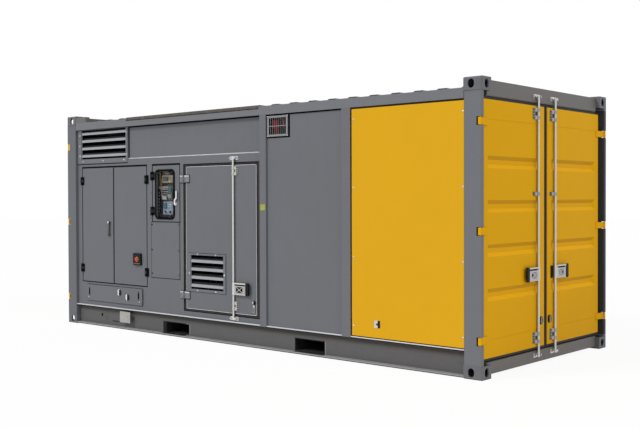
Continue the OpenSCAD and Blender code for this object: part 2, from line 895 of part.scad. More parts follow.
// Board behind the window: a controller on top, a cable duct, breakers on the
// left, a socket, a display unit on the right and a lower unit with two knobs.
module control_panel() {
    knob_z = ctl_z0 + 113;
    color("#d8d5c8") {
        block([ctl_x0 + box_t, -wall_y + board_d, ctl_z0 + box_t],
            [ctl_x1 - box_t, -wall_y + board_d + 5, ctl_z1 - box_t]);
        instrument(101, 450, 186, 84, 30);
        instrument(31, 383, 250, 26, 22);
        instrument(31, 101, 62, 250, 28);
        instrument(96, 256, 70, 46, 22);
        instrument(205, 254, 72, 158, 26);
        instrument(109, 85, 172, 148, 24);
        for (x = [ctl_x0 + 165, ctl_x0 + 243])
            fit_side(x, knob_z, wall_y - board_d + 24) cylinder(r1 = 15, r2 = 12, h = 14, $fn = 48);
    }
}

// ---------------------------------------------------------------- surface hinges

// Sizes of a surface hinge: height, knuckle radius, reach of the fixed and of
// the moving leaf, and pin radius. The pin stands off the wall by pin_off.
small_hinge = [100, 9, 30, 32, 3];
side_hinge = [85, 10, 64, 84, 4];
pin_off = 2;
joint_gap = 0.5;
strap_t = 5;

// One half of a hinge. dir is +1 where the door lies to the right of its pin,
// -1 to the left. The fixed half has two knuckles, the moving half one and the pin.
module hinge_leaf(x, z, size, dir, fixed) {
    h = size[0];
    r = size[1];
    reach = fixed ? size[2] : size[3];
    side = fixed ? -dir : dir;
    y = -wall_y - r - pin_off;
    face = -wall_y;
    inner = h / 6;
    spans = fixed ? [[-h / 2, -inner - joint_gap], [inner + joint_gap, h / 2]] :
        [[-inner + joint_gap, inner - joint_gap]];
    translate([x, 0, z]) {
        for (s = spans) difference() {
            upright(s[0], s[1]) {
                translate([0, y]) circle(r, $fn = 48);
                polygon([[0, y - r * 0.2], [0, y + r], [side * r, face], [side * reach, face],
                    [side * reach, face - strap_t], [side * r, y - r * 0.2]]);
            }
            if (fixed) translate([0, y, s[0] - cut])
                cylinder(r = size[4] + run_gap, h = s[1] - s[0] + 2 * cut, $fn = 32);
        }
        if (!fixed) translate([0, y, -h / 2 + 1]) cylinder(r = size[4], h = h - 2, $fn = 32);
    }
}

cub_pin_l = cub_x0 + door_gap / 2;
cub_pin_r = cub_x1 - door_gap / 2;
ctl_pin = ctl_x0 + door_gap / 2;
sd_pin = sd_x0 + 12;
cub_hinge_zs = [cub_z0 + 168, cub_z1 - 170];
ctl_hinge_zs = [ctl_z0 + 125, ctl_z1 - 130];
sd_hinge_zs = [sd_z0 + 177, sd_z1 - 163];

module hinge_brackets() {
    color(rubber_black) {
        for (z = cub_hinge_zs) {
            hinge_leaf(cub_pin_l, z, small_hinge, 1, true);
            hinge_leaf(cub_pin_r, z, small_hinge, -1, true);
        }
        for (z = ctl_hinge_zs) hinge_leaf(ctl_pin, z, small_hinge, 1, true);
        for (z = sd_hinge_zs) hinge_leaf(sd_pin, z, side_hinge, 1, true);
    }
}

// ---------------------------------------------------------------- locking hardware

// Heights of the bars' axes over the faces that their guides stand on.
end_bar_a = end_bar_r + 6.5;
side_bar_a = side_bar_r + guide_t + 0.5;
end_bar_z0 = sill_z1 - 54;
end_bar_z1 = header_z0 + header_h / 2 - 2;
side_bar_z0 = sd_z0 - 38;
side_bar_z1 = sd_z1 + 60;
cam_h = 24;
ear_r = 8;
hook_t = 7;
hook_w = 24;

// A keeper on the XY plane, for a bar that lies along Y: a base plate, a ball
// ear on the left and a hook plate on the right.
module keeper() {
    ear_x = ear_in + ear_r;
    ball_z = ear_h - ear_r;
    linear_extrude(keeper_plate_t) translate([-keeper_half, -20]) round_rect(2 * keeper_half, 40, 8);
    translate([-ear_x, 0, 0]) {
        cylinder(r = ear_r - 3, h = ball_z, $fn = 48);
        translate([0, 0, ball_z]) sphere(ear_r, $fn = 48);
    }
    translate([ear_in, 0, 0]) rotate([90, 0, 90]) linear_extrude(hook_t) {
        translate([-hook_w / 2, 0]) square([hook_w, ear_h - hook_w / 2]);
        translate([0, ear_h - hook_w / 2]) circle(hook_w / 2, $fn = 48);
    }
}

// A bar on its own axis, with a cam at each end that points towards +X.
module bar_with_cams(r, z0, z1) {
    translate([0, 0, z0]) cylinder(r = r, h = z1 - z0, $fn = 48);
    for (z = [z0, z1 - cam_h]) upright(z, z + cam_h) {
        circle(r + 2, $fn = 48);
        polygon([[0, -r - 2], [cam_reach, -r + 2], [cam_reach, r * 0.4], [0, r + 2]]);
    }
}

grip_w = 46;
plate_in = 1;
lever_t = 7;

// Field of a handle's plate that holds its crossed ribs, from the bar's axis.
cell_w = 100;
cell_h = 62;
cell_from_grip = 46;

// The four cells between the crossed ribs, or the right one alone, which is a
// triangle that points at the bar.
module rib_cells(right_only) {
    rib = 8;
    translate([handle_reach - grip_w - cell_from_grip - cell_w / 2, -9]) difference() {
        translate([right_only ? 0 : -cell_w / 2, -cell_h / 2])
            square([right_only ? cell_w / 2 : cell_w, cell_h]);
        for (s = [-1, 1]) rotate(s * atan2(cell_h, cell_w)) square([2 * cell_w, rib], center = true);
        if (right_only) for (s = [0, 1]) mirror([0, s])
            polygon([[0, 0], [cell_w, cell_h], [0, cell_h]]);
    }
}

// Outline of a handle's casting: a plate with a slot under its top edge and a
// triangular hole between its ribs.
module handle_outline(r) {
    h = handle_h;
    in_x = r + 12;
    out_x = handle_reach - grip_w - 8;
    difference() {
        translate([0, -h / 2 + 6]) square([handle_reach - grip_w + 6, h - 10]);
        translate([(in_x + out_x) / 2, h / 2 - 27]) slot(out_x - in_x, 14);
        rib_cells(true);
    }
}

// The lever casting: hub around the bar, plate with sunk cells, a deep top rail,
// a bottom rail and a thick grip.
module bar_handle(r, z) {
    rib = 6;
    top_rib = 14;
    sunk = 4;
    y = -r - plate_in;
    low = -handle_h / 2 + rib;
    high = handle_h / 2 - 4;
    translate([0, 0, z]) {
        upright(low, high) circle(r + 4, $fn = 48);
        difference() {
            translate([0, y + lever_t, 0]) rotate([90, 0, 0]) linear_extrude(lever_t) handle_outline(r);
            translate([0, y + sunk, 0]) rotate([90, 0, 0]) linear_extrude(2 * sunk) rib_cells(false);
        }
        for (s = [[low, rib], [high - top_rib, top_rib]])
            block([r, y - 4, s[0]], [handle_reach - grip_w + 4, y, s[0] + s[1]]);
        translate([handle_reach - grip_w, y + lever_t + 2, -handle_h / 2])
            rotate([90, 0, 0]) linear_extrude(lever_t + 7) round_rect(grip_w, handle_h, 14);
    }
}

// A locking bar standing on its axis, with its cams and handle towards +X.
module locking_bar(r, z0, z1, handle_z) {
    bar_with_cams(r, z0, z1);
    bar_handle(r, handle_z);
}

// A guide on the XY plane that holds a bar lying along Y with its axis at height
// a: a plate with a bolt column on its left, and a strap over the bar at each end.
module bar_guide(r, a, h, reach) {
    bore = r + bar_play;
    strap_h = min(h, 34);
    ys = h > 2 * strap_h ? [-h / 2, h / 2 - strap_h] : [-strap_h / 2];
    translate([-reach, -h / 2, 0]) linear_extrude(guide_t) round_rect(reach + bore + 12, h, 8);
    for (y = ys) translate([0, y + strap_h, 0]) rotate([90, 0, 0]) linear_extrude(strap_h) difference() {
        union() {
            translate([-bore - 4, 0]) square([2 * bore + 8, a]);
            translate([0, a]) circle(bore + 4, $fn = 48);
            polygon([[-bore - 22, guide_t], [-bore - 4, a], [-bore - 4, guide_t]]);
        }
        translate([0, a]) circle(bore, $fn = 48);
    }
}

// Square latch of a yellow side panel: a plate with a slotted boss.
module panel_latch() {
    w = 68;
    linear_extrude(2) translate([-w / 2, -w / 2]) round_rect(w, w, 6);
    turn_latch(15, 5);
}

module end_keepers(y) {
    for (z = [end_bar_z0 + 14, end_bar_z1 - 10]) fit_end(y, z) keeper();
}

module bar_keepers() {
    color(zinc) {
        end_keepers(left_bar_y);
        end_keepers(right_bar_y);
        for (z = [side_bar_z0 + 15, side_bar_z1 - 15]) fit_side(side_bar_x, z, wall_y) keeper();
        fit_side(post_2_x + post_2_w + panel_latch_in, rail_z + panel_latch_up, post_y - 2) panel_latch();
    }
}

// ---------------------------------------------------------------- end doors

seam_w = 3;
seam_d = 2;
seam_from_bottom = 159;
seam_from_top = 171;
leaf_bevel = 5;

// Pressed swage: its section across the leaf cut back at both ends by its plan.
module swage(z) {
    y0 = swage_from_middle;
    y1 = leaf_y1 - swage_from_edge;
    s = swage_slope;
    e = s * cut / swage_d;
    h = swage_h / 2;
    intersection() {
        translate([0, y1 + s, 0]) rotate([90, 0, 0]) linear_extrude(y1 - y0 + 2 * s)
            polygon([[leaf_x + cut, z - h - e], [leaf_x - swage_d, z - h + s],
                [leaf_x - swage_d, z + h - s], [leaf_x + cut, z + h + e]]);
        upright(z - h - s, z + h + s)
            polygon([[leaf_x + cut, y0 - e], [leaf_x - swage_d, y0 + s],
                [leaf_x - swage_d, y1 - s], [leaf_x + cut, y1 + e]]);
    }
}

// A hinge of an end door: knuckle, an arm that stands clear of the notch's back,
// a strap onto the leaf's face and the pin.
module end_hinge(z) {
    strap = 17;
    reach = 66;
    arm = pin_x - 16;
    arm_t = 12;
    bend_y = leaf_y1 + 34;
    upright(z - knuckle_h / 2, z + knuckle_h / 2) {
        translate([pin_x, pin_y]) circle(knuckle_r, $fn = 48);
        polygon([[pin_x, pin_y + knuckle_r], [arm, pin_y + knuckle_r], [arm, bend_y],
            [leaf_x + 5, leaf_y1 + 10], [leaf_x + 5, leaf_y1], [leaf_x, leaf_y1],
            [leaf_x, leaf_y1 - reach], [leaf_x + 5, leaf_y1 - reach],
            [leaf_x + strap, leaf_y1 - reach + strap], [leaf_x + strap, leaf_y1],
            [arm + arm_t, bend_y], [arm + arm_t, pin_y], [pin_x, pin_y]]);
    }
    translate([pin_x, pin_y, z - notch_h / 2 - pin_bed + 4])
        cylinder(r = pin_r, h = notch_h + 2 * pin_bed - 8, $fn = 48);
}

// A leaf on the far side of the middle (+Y), with its hinges at its outer edge.
module end_leaf() {
    x0 = leaf_x - leaf_t;
    b = leaf_bevel;
    difference() {
        upright(leaf_z0, leaf_z1) polygon([[x0, leaf_centre_gap], [leaf_x - b, leaf_centre_gap],
            [leaf_x, leaf_centre_gap + b], [leaf_x, leaf_y1 - b], [leaf_x - b, leaf_y1], [x0, leaf_y1]]);
        for (i = [0 : swages - 1]) swage(swage_z + i * swage_pitch);
        for (z = [leaf_z0 + seam_from_bottom, leaf_z1 - seam_from_top])
            block([leaf_x - seam_d, 0, z - seam_w / 2], [leaf_x + cut, half_w, z + seam_w / 2]);
    }
    for (z = hinge_zs) end_hinge(z);
}

// Rubber seal around a leaf, fixed to its edges.
module leaf_seal() {
    y0 = leaf_centre_gap;
    lip = leaf_centre_gap - 6;
    leaf_h = leaf_z1 - leaf_z0;
    on_end(leaf_x - leaf_t + 4, leaf_t - 12) difference() {
        translate([y0 - lip, leaf_z0 - seal_w])
            square([leaf_y1 - y0 + lip + seal_w, leaf_h + 2 * seal_w]);
        translate([y0, leaf_z0]) square([leaf_y1 - y0, leaf_h]);
    }
}

module left_end_door() {
    color(paint_yellow) mirror([0, 1, 0]) end_leaf();
}

module right_end_door() {
    color(paint_yellow) end_leaf();
}

module left_end_seal() {
    color(rubber_black) mirror([0, 1, 0]) leaf_seal();
}

module right_end_seal() {
    color(rubber_black) leaf_seal();
}

// Tall guides near the leaf's ends and a slim one at middle height.
module end_guides(y) {
    for (z = [leaf_z0 + 88, leaf_z1 - 74])
        fit_end(y, z) bar_guide(end_bar_r, end_bar_a, guide_h, guide_reach);
    fit_end(y, mid_guide_z) bar_guide(end_bar_r, end_bar_a, slim_guide_h, guide_reach);
}

// Each leaf also carries a latch near the middle gap, low down, and the right
// one a buffer beside its bar's handle.
module left_bar_guides() {
    color(zinc) {
        end_guides(left_bar_y);
        fit_end(left_latch_y, latch_z) paddle_latch(0);
    }
}

module right_bar_guides() {
    color(zinc) {
        end_guides(right_bar_y);
        fit_end(right_latch_y, latch_z) paddle_latch(0);
        block([leaf_x, right_bar_y - 57, end_handle_z - 58],
            [leaf_x + 10, right_bar_y - 23, end_handle_z + 58]);
    }
}

// A bar of the end doors, with its handle towards +Y.
module end_bar(y) {
    translate([leaf_x + end_bar_a, y, 0]) rotate(90)
        locking_bar(end_bar_r, end_bar_z0, end_bar_z1, end_handle_z);
}

// The handles lie along the leaves, away from the middle.
module left_locking_bar() {
    color(zinc) mirror([0, 1, 0]) end_bar(-left_bar_y);
}

module right_locking_bar() {
    color(zinc) end_bar(right_bar_y);
}

// The far end has the same doors, kept shut.
module far_end_doors() {
    color(paint_yellow) mirror([1, 0, 0]) both_sides() end_leaf();
}

module far_end_bars() {
    color(zinc) mirror([1, 0, 0]) both_sides() {
        end_guides(right_bar_y);
        end_keepers(right_bar_y);
        end_bar(right_bar_y);
    }
}

// ---------------------------------------------------------------- side door

sd_leaf_x0 = sd_x0 + sd_seal_side + sd_gap + 4;
sd_leaf_x1 = sd_x1 - sd_seal_wide - sd_gap;
sd_leaf_z0 = sd_z0 + sd_seal_end + sd_gap;
sd_leaf_z1 = sd_z1 - sd_seal_end - sd_gap;
sdl_x = sd_x0 + sdl_from_edge;
sdl_bottom_rim = 27;
sdl_top_rim = 19;
sdl_ix = sdl_x + louvre_rim;
sdl_iz = sdl_z + sdl_bottom_rim;
sdl_iw = sdl_w - 2 * louvre_rim;
sdl_ih = sdl_h - sdl_bottom_rim - sdl_top_rim;

// Rubber frame in the side door opening, and the seals of the far end doors.
module door_seals() {
    color(rubber_black) {
        on_side(wall_y - wall_t + 4, wall_t - 9) difference() {
            translate([sd_x0, sd_z0]) square([sd_x1 - sd_x0, sd_z1 - sd_z0]);
            translate([sd_x0 + sd_seal_side, sd_z0 + sd_seal_end])
                square([sd_w - sd_seal_side - sd_seal_wide, sd_z1 - sd_z0 - 2 * sd_seal_end]);
        }
        mirror([1, 0, 0]) both_sides() leaf_seal();
    }
}

module side_door() {
    color(paint_grey) {
        difference() {
            on_side(wall_y - wall_t, wall_t) translate([sd_leaf_x0, sd_leaf_z0])
                round_rect(sd_leaf_x1 - sd_leaf_x0, sd_leaf_z1 - sd_leaf_z0, 4);
            on_side(wall_y - wall_t - cut, wall_t + 2 * cut)
                translate([sdl_ix, sdl_iz]) square([sdl_iw, sdl_ih]);
        }
        for (z = sd_hinge_zs) hinge_leaf(sd_pin, z, side_hinge, 1, false);
    }
}

// Frame screwed onto the leaf, with cheeks in the opening that carry the blades.
module side_door_louvre() {
    cheek = 3;
    color(paint_grey) {
        on_side(wall_y, 6) difference() {
            translate([sdl_x, sdl_z]) round_rect(sdl_w, sdl_h, 6);
            translate([sdl_ix, sdl_iz]) square([sdl_iw, sdl_ih]);
        }
        on_side(wall_y - blade_depth - 4, blade_depth + 10) difference() {
            translate([sdl_ix, sdl_iz]) square([sdl_iw, sdl_ih]);
            translate([sdl_ix + cheek, sdl_iz - cut]) square([sdl_iw - 2 * cheek, sdl_ih + 2 * cut]);
        }
        louvre_blades(sdl_ix + cut, sdl_iz, sdl_iw - 2 * cut, sdl_ih, wall_y - 2, blade_gap);
    }
}

// A small swing latch on the XY plane: a disc, an arched lever and a pull loop
// that hangs below them.
module swing_latch() {
    disc_t = 5;
    arch_r = 12;
    arch_w = 14;
    loop_l = 80;
    cylinder(r = 24, h = disc_t, $fn = 48);
    translate([0, 2, disc_t + 1]) rotate([0, 90, 0]) intersection() {
        translate([0, 0, -arch_w / 2]) rotate_extrude($fn = 64)
            translate([arch_r, 0]) square([6, arch_w]);
        block([-30, -30, -arch_w], [2, 30, arch_w]);
    }
    translate([0, -20 - loop_l, disc_t - 1]) linear_extrude(4) difference() {
        translate([-13, 0]) round_rect(26, loop_l, 12);
        translate([-8, 6]) round_rect(16, loop_l - 34, 7);
    }
}

// Guides of the side door's bar, with their bolts on the right, and its latch.
module side_bar_guides() {
    color(zinc) {
        for (z = [sd_leaf_z0 + 82, sd_leaf_z1 - 62]) fit_side(side_bar_x, z, wall_y)
            mirror([1, 0, 0]) bar_guide(side_bar_r, side_bar_a, guide_h - 12, side_guide_reach);
        fit_side(sd_leaf_x1 - 40, sd_leaf_z0 + 132, wall_y) swing_latch();
    }
}

module side_locking_bar() {
    color(zinc) translate([side_bar_x, -wall_y - side_bar_a, 0])
        locking_bar(side_bar_r, side_bar_z0, side_bar_z1, side_handle_z);
}

// ---------------------------------------------------------------- cubicle and control doors

// A thin sheet-metal leaf between two x values.
module thin_leaf(x0, x1, z0, z1) {
    on_side(wall_y - thin_leaf_t, thin_leaf_t)
        translate([x0, z0]) round_rect(x1 - x0, z1 - z0, 3);
}

// The cubicle's lever: pivot height, distance of the pivot from the leaf, width.
lever_x = cub_mid - 85;
lever_z = 1272;
lever_y = 14;
lever_w = 22;
lever_len = 164;
lever_ear_t = 5;
lever_pin_r = 3;

// Ears on the leaf that hold the lever's pin.
module lever_ears() {
    r = 10;
    x = lever_w / 2 + joint_gap;
    for (s = [-x - lever_ear_t, x]) difference() {
        along_x(lever_x + s, lever_x + s + lever_ear_t) {
            translate([-wall_y - lever_y, lever_z]) circle(r, $fn = 48);
            translate([-wall_y - lever_y, lever_z - r]) square([lever_y + cut, 2 * r]);
        }
        along_x(lever_x + s - cut, lever_x + s + lever_ear_t + cut)
            translate([-wall_y - lever_y, lever_z]) circle(lever_pin_r + run_gap, $fn = 32);
    }
}

// Lever that hangs from its pin: side outline with a rounded head and a grip
// that swells towards its lower end.
module cubicle_handle() {
    y = -wall_y - lever_y;
    pin_x1 = lever_x + lever_w / 2 + joint_gap + lever_ear_t;
    color(rubber_black) {
        along_x(lever_x - lever_w / 2, lever_x + lever_w / 2) {
            translate([y, lever_z]) circle(9, $fn = 48);
            polygon([[y - 4, lever_z], [y + 5, lever_z], [y + 5, lever_z - lever_len + 40],
                [y + 8, lever_z - lever_len], [y - 8, lever_z - lever_len], [y - 7, lever_z - lever_len + 36]]);
        }
        along_x(2 * lever_x - pin_x1, pin_x1) translate([y, lever_z]) circle(lever_pin_r, $fn = 32);
    }
}

module left_cubicle_door() {
    color(paint_grey) {
        thin_leaf(cub_x0 + door_gap, cub_mid - door_gap / 2, cub_z0 + door_gap, cub_z1 - door_top_gap);
        for (z = cub_hinge_zs) hinge_leaf(cub_pin_l, z, small_hinge, 1, false);
        lever_ears();
    }
}

module right_cubicle_door() {
    color(paint_grey) {
        thin_leaf(cub_mid + door_gap / 2, cub_x1 - door_gap, cub_z0 + door_gap, cub_z1 - door_top_gap);
        for (z = cub_hinge_zs) hinge_leaf(cub_pin_r, z, small_hinge, -1, false);
    }
}

stop_btn_x = cub_x1 - 168;
stop_btn_z = cub_z0 + 314;
stop_size = 139;
stop_d = 22;
stem_r = 12;
stem_in = 11;

module stop_box() {
    color(rubber_black) difference() {
        on_side(wall_y, stop_d) translate([stop_btn_x - stop_size / 2, stop_btn_z - stop_size / 2])
            round_rect(stop_size, stop_size, 8);
        on_side(wall_y + stem_in - 5, stop_d) translate([stop_btn_x, stop_btn_z])
            circle(stem_r + run_gap, $fn = 48);
    }
}

// Mushroom button: a stem in the box and a head that stops short of its face.
module stop_button() {
    travel_gap = 5.5;
    color(signal_red) {
        on_side(wall_y + stem_in, stop_d - stem_in + travel_gap + 1)
            translate([stop_btn_x, stop_btn_z]) circle(stem_r, $fn = 48);
        on_side(wall_y + stop_d + travel_gap, 6) translate([stop_btn_x, stop_btn_z]) circle(22, $fn = 48);
    }
}

ctl_leaf_x0 = ctl_x0 + door_gap;
ctl_leaf_z0 = ctl_z0 + door_gap;
win_x = ctl_leaf_x0 + window_from_left;
win_z = ctl_leaf_z0 + window_from_bottom;
turn_x = ctl_x1 - 69;
turn_z = ctl_z0 + 212;
spindle_r = 8;

module control_door() {
    color(paint_grey) {
        difference() {
            thin_leaf(ctl_leaf_x0, ctl_x1 - door_gap, ctl_leaf_z0, ctl_z1 - door_top_gap);
            on_side(wall_y - thin_leaf_t - cut, thin_leaf_t + 2 * cut) {
                translate([win_x, win_z]) round_rect(window_w, window_h, window_r);
                translate([turn_x, turn_z]) circle(spindle_r + run_gap, $fn = 48);
            }
        }
        for (z = ctl_hinge_zs) hinge_leaf(ctl_pin, z, small_hinge, 1, false);
    }
}

module control_window() {
    color([0.55, 0.62, 0.66, 0.35]) on_side(wall_y - 14, 5)
        translate([win_x, win_z]) round_rect(window_w, window_h, window_r);
}

// Bowed lever on a spindle that runs through the leaf: hub, neck and grip.
module control_handle() {
    hub_r = 22;
    tip_z = 132;
    lean = 28;
    color(zinc) fit_side(turn_x, turn_z, wall_y) {
        translate([0, 0, -thin_leaf_t]) cylinder(r = spindle_r, h = thin_leaf_t + 2, $fn = 48);
        translate([0, 0, run_gap]) {
            cylinder(r = hub_r, h = 8, $fn = 48);
            cylinder(r = hub_r - 6, h = 20, $fn = 48);
        }
        translate([0, 0, 12]) linear_extrude(10) {
            polygon([[-11, 0], [-9, 44], [lean - 9, 66], [lean - 9, tip_z], [lean + 9, tip_z],
                [lean + 9, 58], [11, 36], [11, 0]]);
            translate([lean, tip_z]) circle(9, $fn = 48);
        }
    }
}

corner_castings();
corner_posts();
bottom_side_rails();
top_side_rails();
end_rails();
side_posts();
underframe();
floor();
roof();
roof_hatch();
side_panels();
wall_uprights();
wall_infills();
yellow_side_panels();
inlet_louvre();
vent_grille();
beacon();
lower_covers();
control_box();
control_panel();
hinge_brackets();
bar_keepers();
far_end_doors();
far_end_bars();
door_seals();
left_end_door();
left_end_seal();
left_bar_guides();
left_locking_bar();
right_end_door();
right_end_seal();
right_bar_guides();
right_locking_bar();
side_door();
side_door_louvre();
side_bar_guides();
side_locking_bar();
left_cubicle_door();
cubicle_handle();
right_cubicle_door();
stop_box();
stop_button();
control_door();
control_window();
control_handle();
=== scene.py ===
# %% [markdown]
# A containerized diesel generator set, dressed for a studio picture. The construction is a
# finished CAD frame: every panel, door and bar is already there and already moves. This lesson
# gives those nodes their finishes and adds the small things that CAD leaves out, such as bolts,
# rivets, gaskets, plates and the instruments' faces.

# %% Load the frame
import bpy, bmesh, json, math
from mathutils import Matrix, Vector


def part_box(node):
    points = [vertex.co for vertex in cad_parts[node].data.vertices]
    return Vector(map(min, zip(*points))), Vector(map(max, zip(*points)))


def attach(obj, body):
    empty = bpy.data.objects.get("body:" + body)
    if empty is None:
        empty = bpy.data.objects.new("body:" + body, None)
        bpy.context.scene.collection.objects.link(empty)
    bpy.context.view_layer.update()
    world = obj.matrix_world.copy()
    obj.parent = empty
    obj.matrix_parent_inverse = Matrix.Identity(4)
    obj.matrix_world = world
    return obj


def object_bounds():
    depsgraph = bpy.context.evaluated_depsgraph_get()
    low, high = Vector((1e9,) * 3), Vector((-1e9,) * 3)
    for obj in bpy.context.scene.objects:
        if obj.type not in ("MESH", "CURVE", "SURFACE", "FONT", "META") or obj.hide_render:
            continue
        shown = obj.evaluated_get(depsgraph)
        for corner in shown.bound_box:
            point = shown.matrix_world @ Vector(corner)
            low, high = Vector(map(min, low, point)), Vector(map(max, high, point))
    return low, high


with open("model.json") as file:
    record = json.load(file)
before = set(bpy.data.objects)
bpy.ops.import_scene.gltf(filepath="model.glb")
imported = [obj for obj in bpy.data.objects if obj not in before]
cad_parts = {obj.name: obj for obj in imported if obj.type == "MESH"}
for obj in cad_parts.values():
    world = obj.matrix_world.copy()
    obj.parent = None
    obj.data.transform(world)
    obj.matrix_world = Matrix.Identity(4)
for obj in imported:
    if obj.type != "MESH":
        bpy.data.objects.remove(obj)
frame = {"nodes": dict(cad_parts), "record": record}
cad_box = [list(corner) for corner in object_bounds()]
nodes = frame["nodes"]
X, Y = 0, 1
print("nodes:", len(nodes), "box:", cad_box)

# %% [markdown]
# Pieces are placed from the frame itself. A node may hold several like solids that don't touch,
# for example all the hinge brackets, so its triangles are sorted into islands and each island's
# box is measured. Bolts and rivets then sit where the real solids are.

# %% Boxes of a node and of its separate solids
WELD = 20000  # corners that agree to 1/20000 m are one

def box_of(points):
    """The low and high corner of a box round some points."""
    return (Vector([min(p[i] for p in points) for i in range(3)]),
            Vector([max(p[i] for p in points) for i in range(3)]))

def node_box(node):
    return [Vector(corner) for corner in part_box(node)]

def middle(low, high):
    return (Vector(low) + Vector(high)) / 2

def solids(node):
    """Boxes (low, high) of the solids in a node, from the lowest x, y and z up."""
    mesh = nodes[node].data
    key = [tuple(round(c * WELD) for c in v.co) for v in mesh.vertices]
    root = {}

    def find(k):
        while root.setdefault(k, k) != k:
            root[k] = root[root[k]]
            k = root[k]
        return k

    for face in mesh.polygons:
        first = find(key[face.vertices[0]])
        for i in face.vertices[1:]:
            root[find(key[i])] = first
    groups = {}
    for v in mesh.vertices:
        groups.setdefault(find(key[v.index]), []).append(v.co)
    boxes = [box_of(group) for group in groups.values()]
    return sorted(boxes, key=lambda b: tuple(round(c, 3) for c in b[0]))

covers = solids("lower_covers")
cover = max(covers, key=lambda b: b[1].x - b[0].x)
plate = min(covers, key=lambda b: b[1].x - b[0].x)
brackets = solids("hinge_brackets")
keepers = solids("bar_keepers")
print("covers", len(covers), "hinge brackets", len(brackets), "bar keepers", len(keepers))

# %% [markdown]
# Shader trees are easier to read when one line adds one node. `put` makes a node, sets its
# options and either links or sets each input. `maths`, `blend_colours` and `blend_values` are
# the steps that every finish uses.

# %% Helpers for shader trees
def join(tree, socket, value):
    if isinstance(value, bpy.types.NodeSocket):
        tree.links.new(value, socket)
    else:
        socket.default_value = value

def put(tree, kind, options=None, **inputs):
    node = tree.nodes.new("ShaderNode" + kind)
    for name, value in (options or {}).items():
        setattr(node, name, value)
    for name, value in inputs.items():
        join(tree, node.inputs[name.replace("_", " ")], value)
    return node

def maths(tree, operation, a, b=0.0, clamp=False):
    node = put(tree, "Math", {"operation": operation, "use_clamp": clamp})
    join(tree, node.inputs[0], a)
    join(tree, node.inputs[1], b)
    return node.outputs[0]

def vector_maths(tree, operation, a, b=(0.0, 0.0, 0.0)):
    node = put(tree, "VectorMath", {"operation": operation})
    join(tree, node.inputs[0], a)
    if operation != "ABSOLUTE":
        join(tree, node.inputs[1], b)
    return node.outputs["Value" if operation == "DOT_PRODUCT" else "Vector"]

def blend_colours(tree, factor, a, b):
    node = put(tree, "Mix", {"data_type": "RGBA"})
    for index, value in ((0, factor), (6, a), (7, b)):
        join(tree, node.inputs[index], value)
    return node.outputs[2]

def blend_values(tree, factor, a, b):
    node = put(tree, "Mix")
    for index, value in ((0, factor), (2, a), (3, b)):
        join(tree, node.inputs[index], value)
    return node.outputs[0]

def ramp(tree, value, low, high, to_low=0.0, to_high=1.0):
    """Value mapped from low..high to to_low..to_high, held at the ends."""
    return put(tree, "MapRange", Value=value, From_Min=low, From_Max=high,
               To_Min=to_low, To_Max=to_high).outputs[0]

def noise(tree, where, scale, detail, roughness=0.5):
    return put(tree, "TexNoise", Vector=where, Scale=scale, Detail=detail,
               Roughness=roughness).outputs[0]

def parts_of(tree, vector):
    return put(tree, "SeparateXYZ", Vector=vector).outputs

def surface_normal(tree):
    return put(tree, "NewGeometry").outputs["True Normal"]

def scaled(tree, colour, value, saturation=1.0):
    """A colour made lighter or darker, and paler if asked."""
    return put(tree, "HueSaturation", Color=colour, Value=value, Saturation=saturation).outputs[0]

def rgb(r, g, b):
    return (r, g, b, 1.0)

def new_group(name, ins, outs):
    """A shader node group; ins are (name, kind, value) and outs are (name, kind)."""
    tree = bpy.data.node_groups.new(name, "ShaderNodeTree")
    for label, kind, value in ins:
        socket = tree.interface.new_socket(label, in_out="INPUT", socket_type="NodeSocket" + kind)
        socket.default_value = value
    for label, kind in outs:
        tree.interface.new_socket(label, in_out="OUTPUT", socket_type="NodeSocket" + kind)
    entry, end = tree.nodes.new("NodeGroupInput"), tree.nodes.new("NodeGroupOutput")
    return tree, entry.outputs, end.inputs

def use_group(tree, group, **inputs):
    node = tree.nodes.new("ShaderNodeGroup")
    node.node_tree = group
    for name, value in inputs.items():
        join(tree, node.inputs[name.replace("_", " ")], value)
    return node.outputs

ORIGIN = (0.0, 0.0, 0.0)
GREY = rgb(0.5, 0.5, 0.5)
print("shader helpers ready")

# %% [markdown]
# Spray paint on sheet steel is never quite even. It dries with a fine skin like orange peel,
# its tone drifts a little over a metre or two, and water leaves faint vertical traces. One
# group makes all three from Object coordinates, so the pattern runs on across the joints
# between nodes, as one coat of paint does.

# %% Group: sprayed coat
PEEL_HEIGHT, WAVE_HEIGHT = 0.00008, 0.0003
coat_group, gi, go = new_group(
    "sprayed coat",
    [("Position", "Vector", ORIGIN), ("Colour", "Color", GREY), ("Drift", "Float", 0.06),
     ("Streaks", "Float", 0.05), ("Roughness", "Float", 0.4)],
    [("Colour", "Color"), ("Roughness", "Float"), ("Height", "Float")])
t = coat_group
broad = noise(t, gi["Position"], 0.9, 3.0, 0.55)
middling = noise(t, gi["Position"], 7.0, 4.0, 0.6)
tall = put(t, "Mapping", Vector=gi["Position"], Scale=(9.0, 9.0, 0.5)).outputs[0]
run_down = noise(t, tall, 2.2, 5.0, 0.62)
tone = maths(t, "ADD", maths(t, "MULTIPLY", broad, 0.65), maths(t, "MULTIPLY", middling, 0.35))
shift = maths(t, "MULTIPLY", maths(t, "SUBTRACT", tone, 0.5), maths(t, "MULTIPLY", gi["Drift"], 4.0))
streak = maths(t, "MULTIPLY", maths(t, "SUBTRACT", run_down, 0.5),
               maths(t, "MULTIPLY", gi["Streaks"], 2.0))
value = maths(t, "ADD", maths(t, "ADD", shift, streak), 1.0)
t.links.new(scaled(t, gi["Colour"], value), go["Colour"])
peel = maths(t, "MULTIPLY", noise(t, gi["Position"], 420.0, 2.0), PEEL_HEIGHT)
waves = maths(t, "MULTIPLY", noise(t, gi["Position"], 26.0, 2.0), WAVE_HEIGHT)
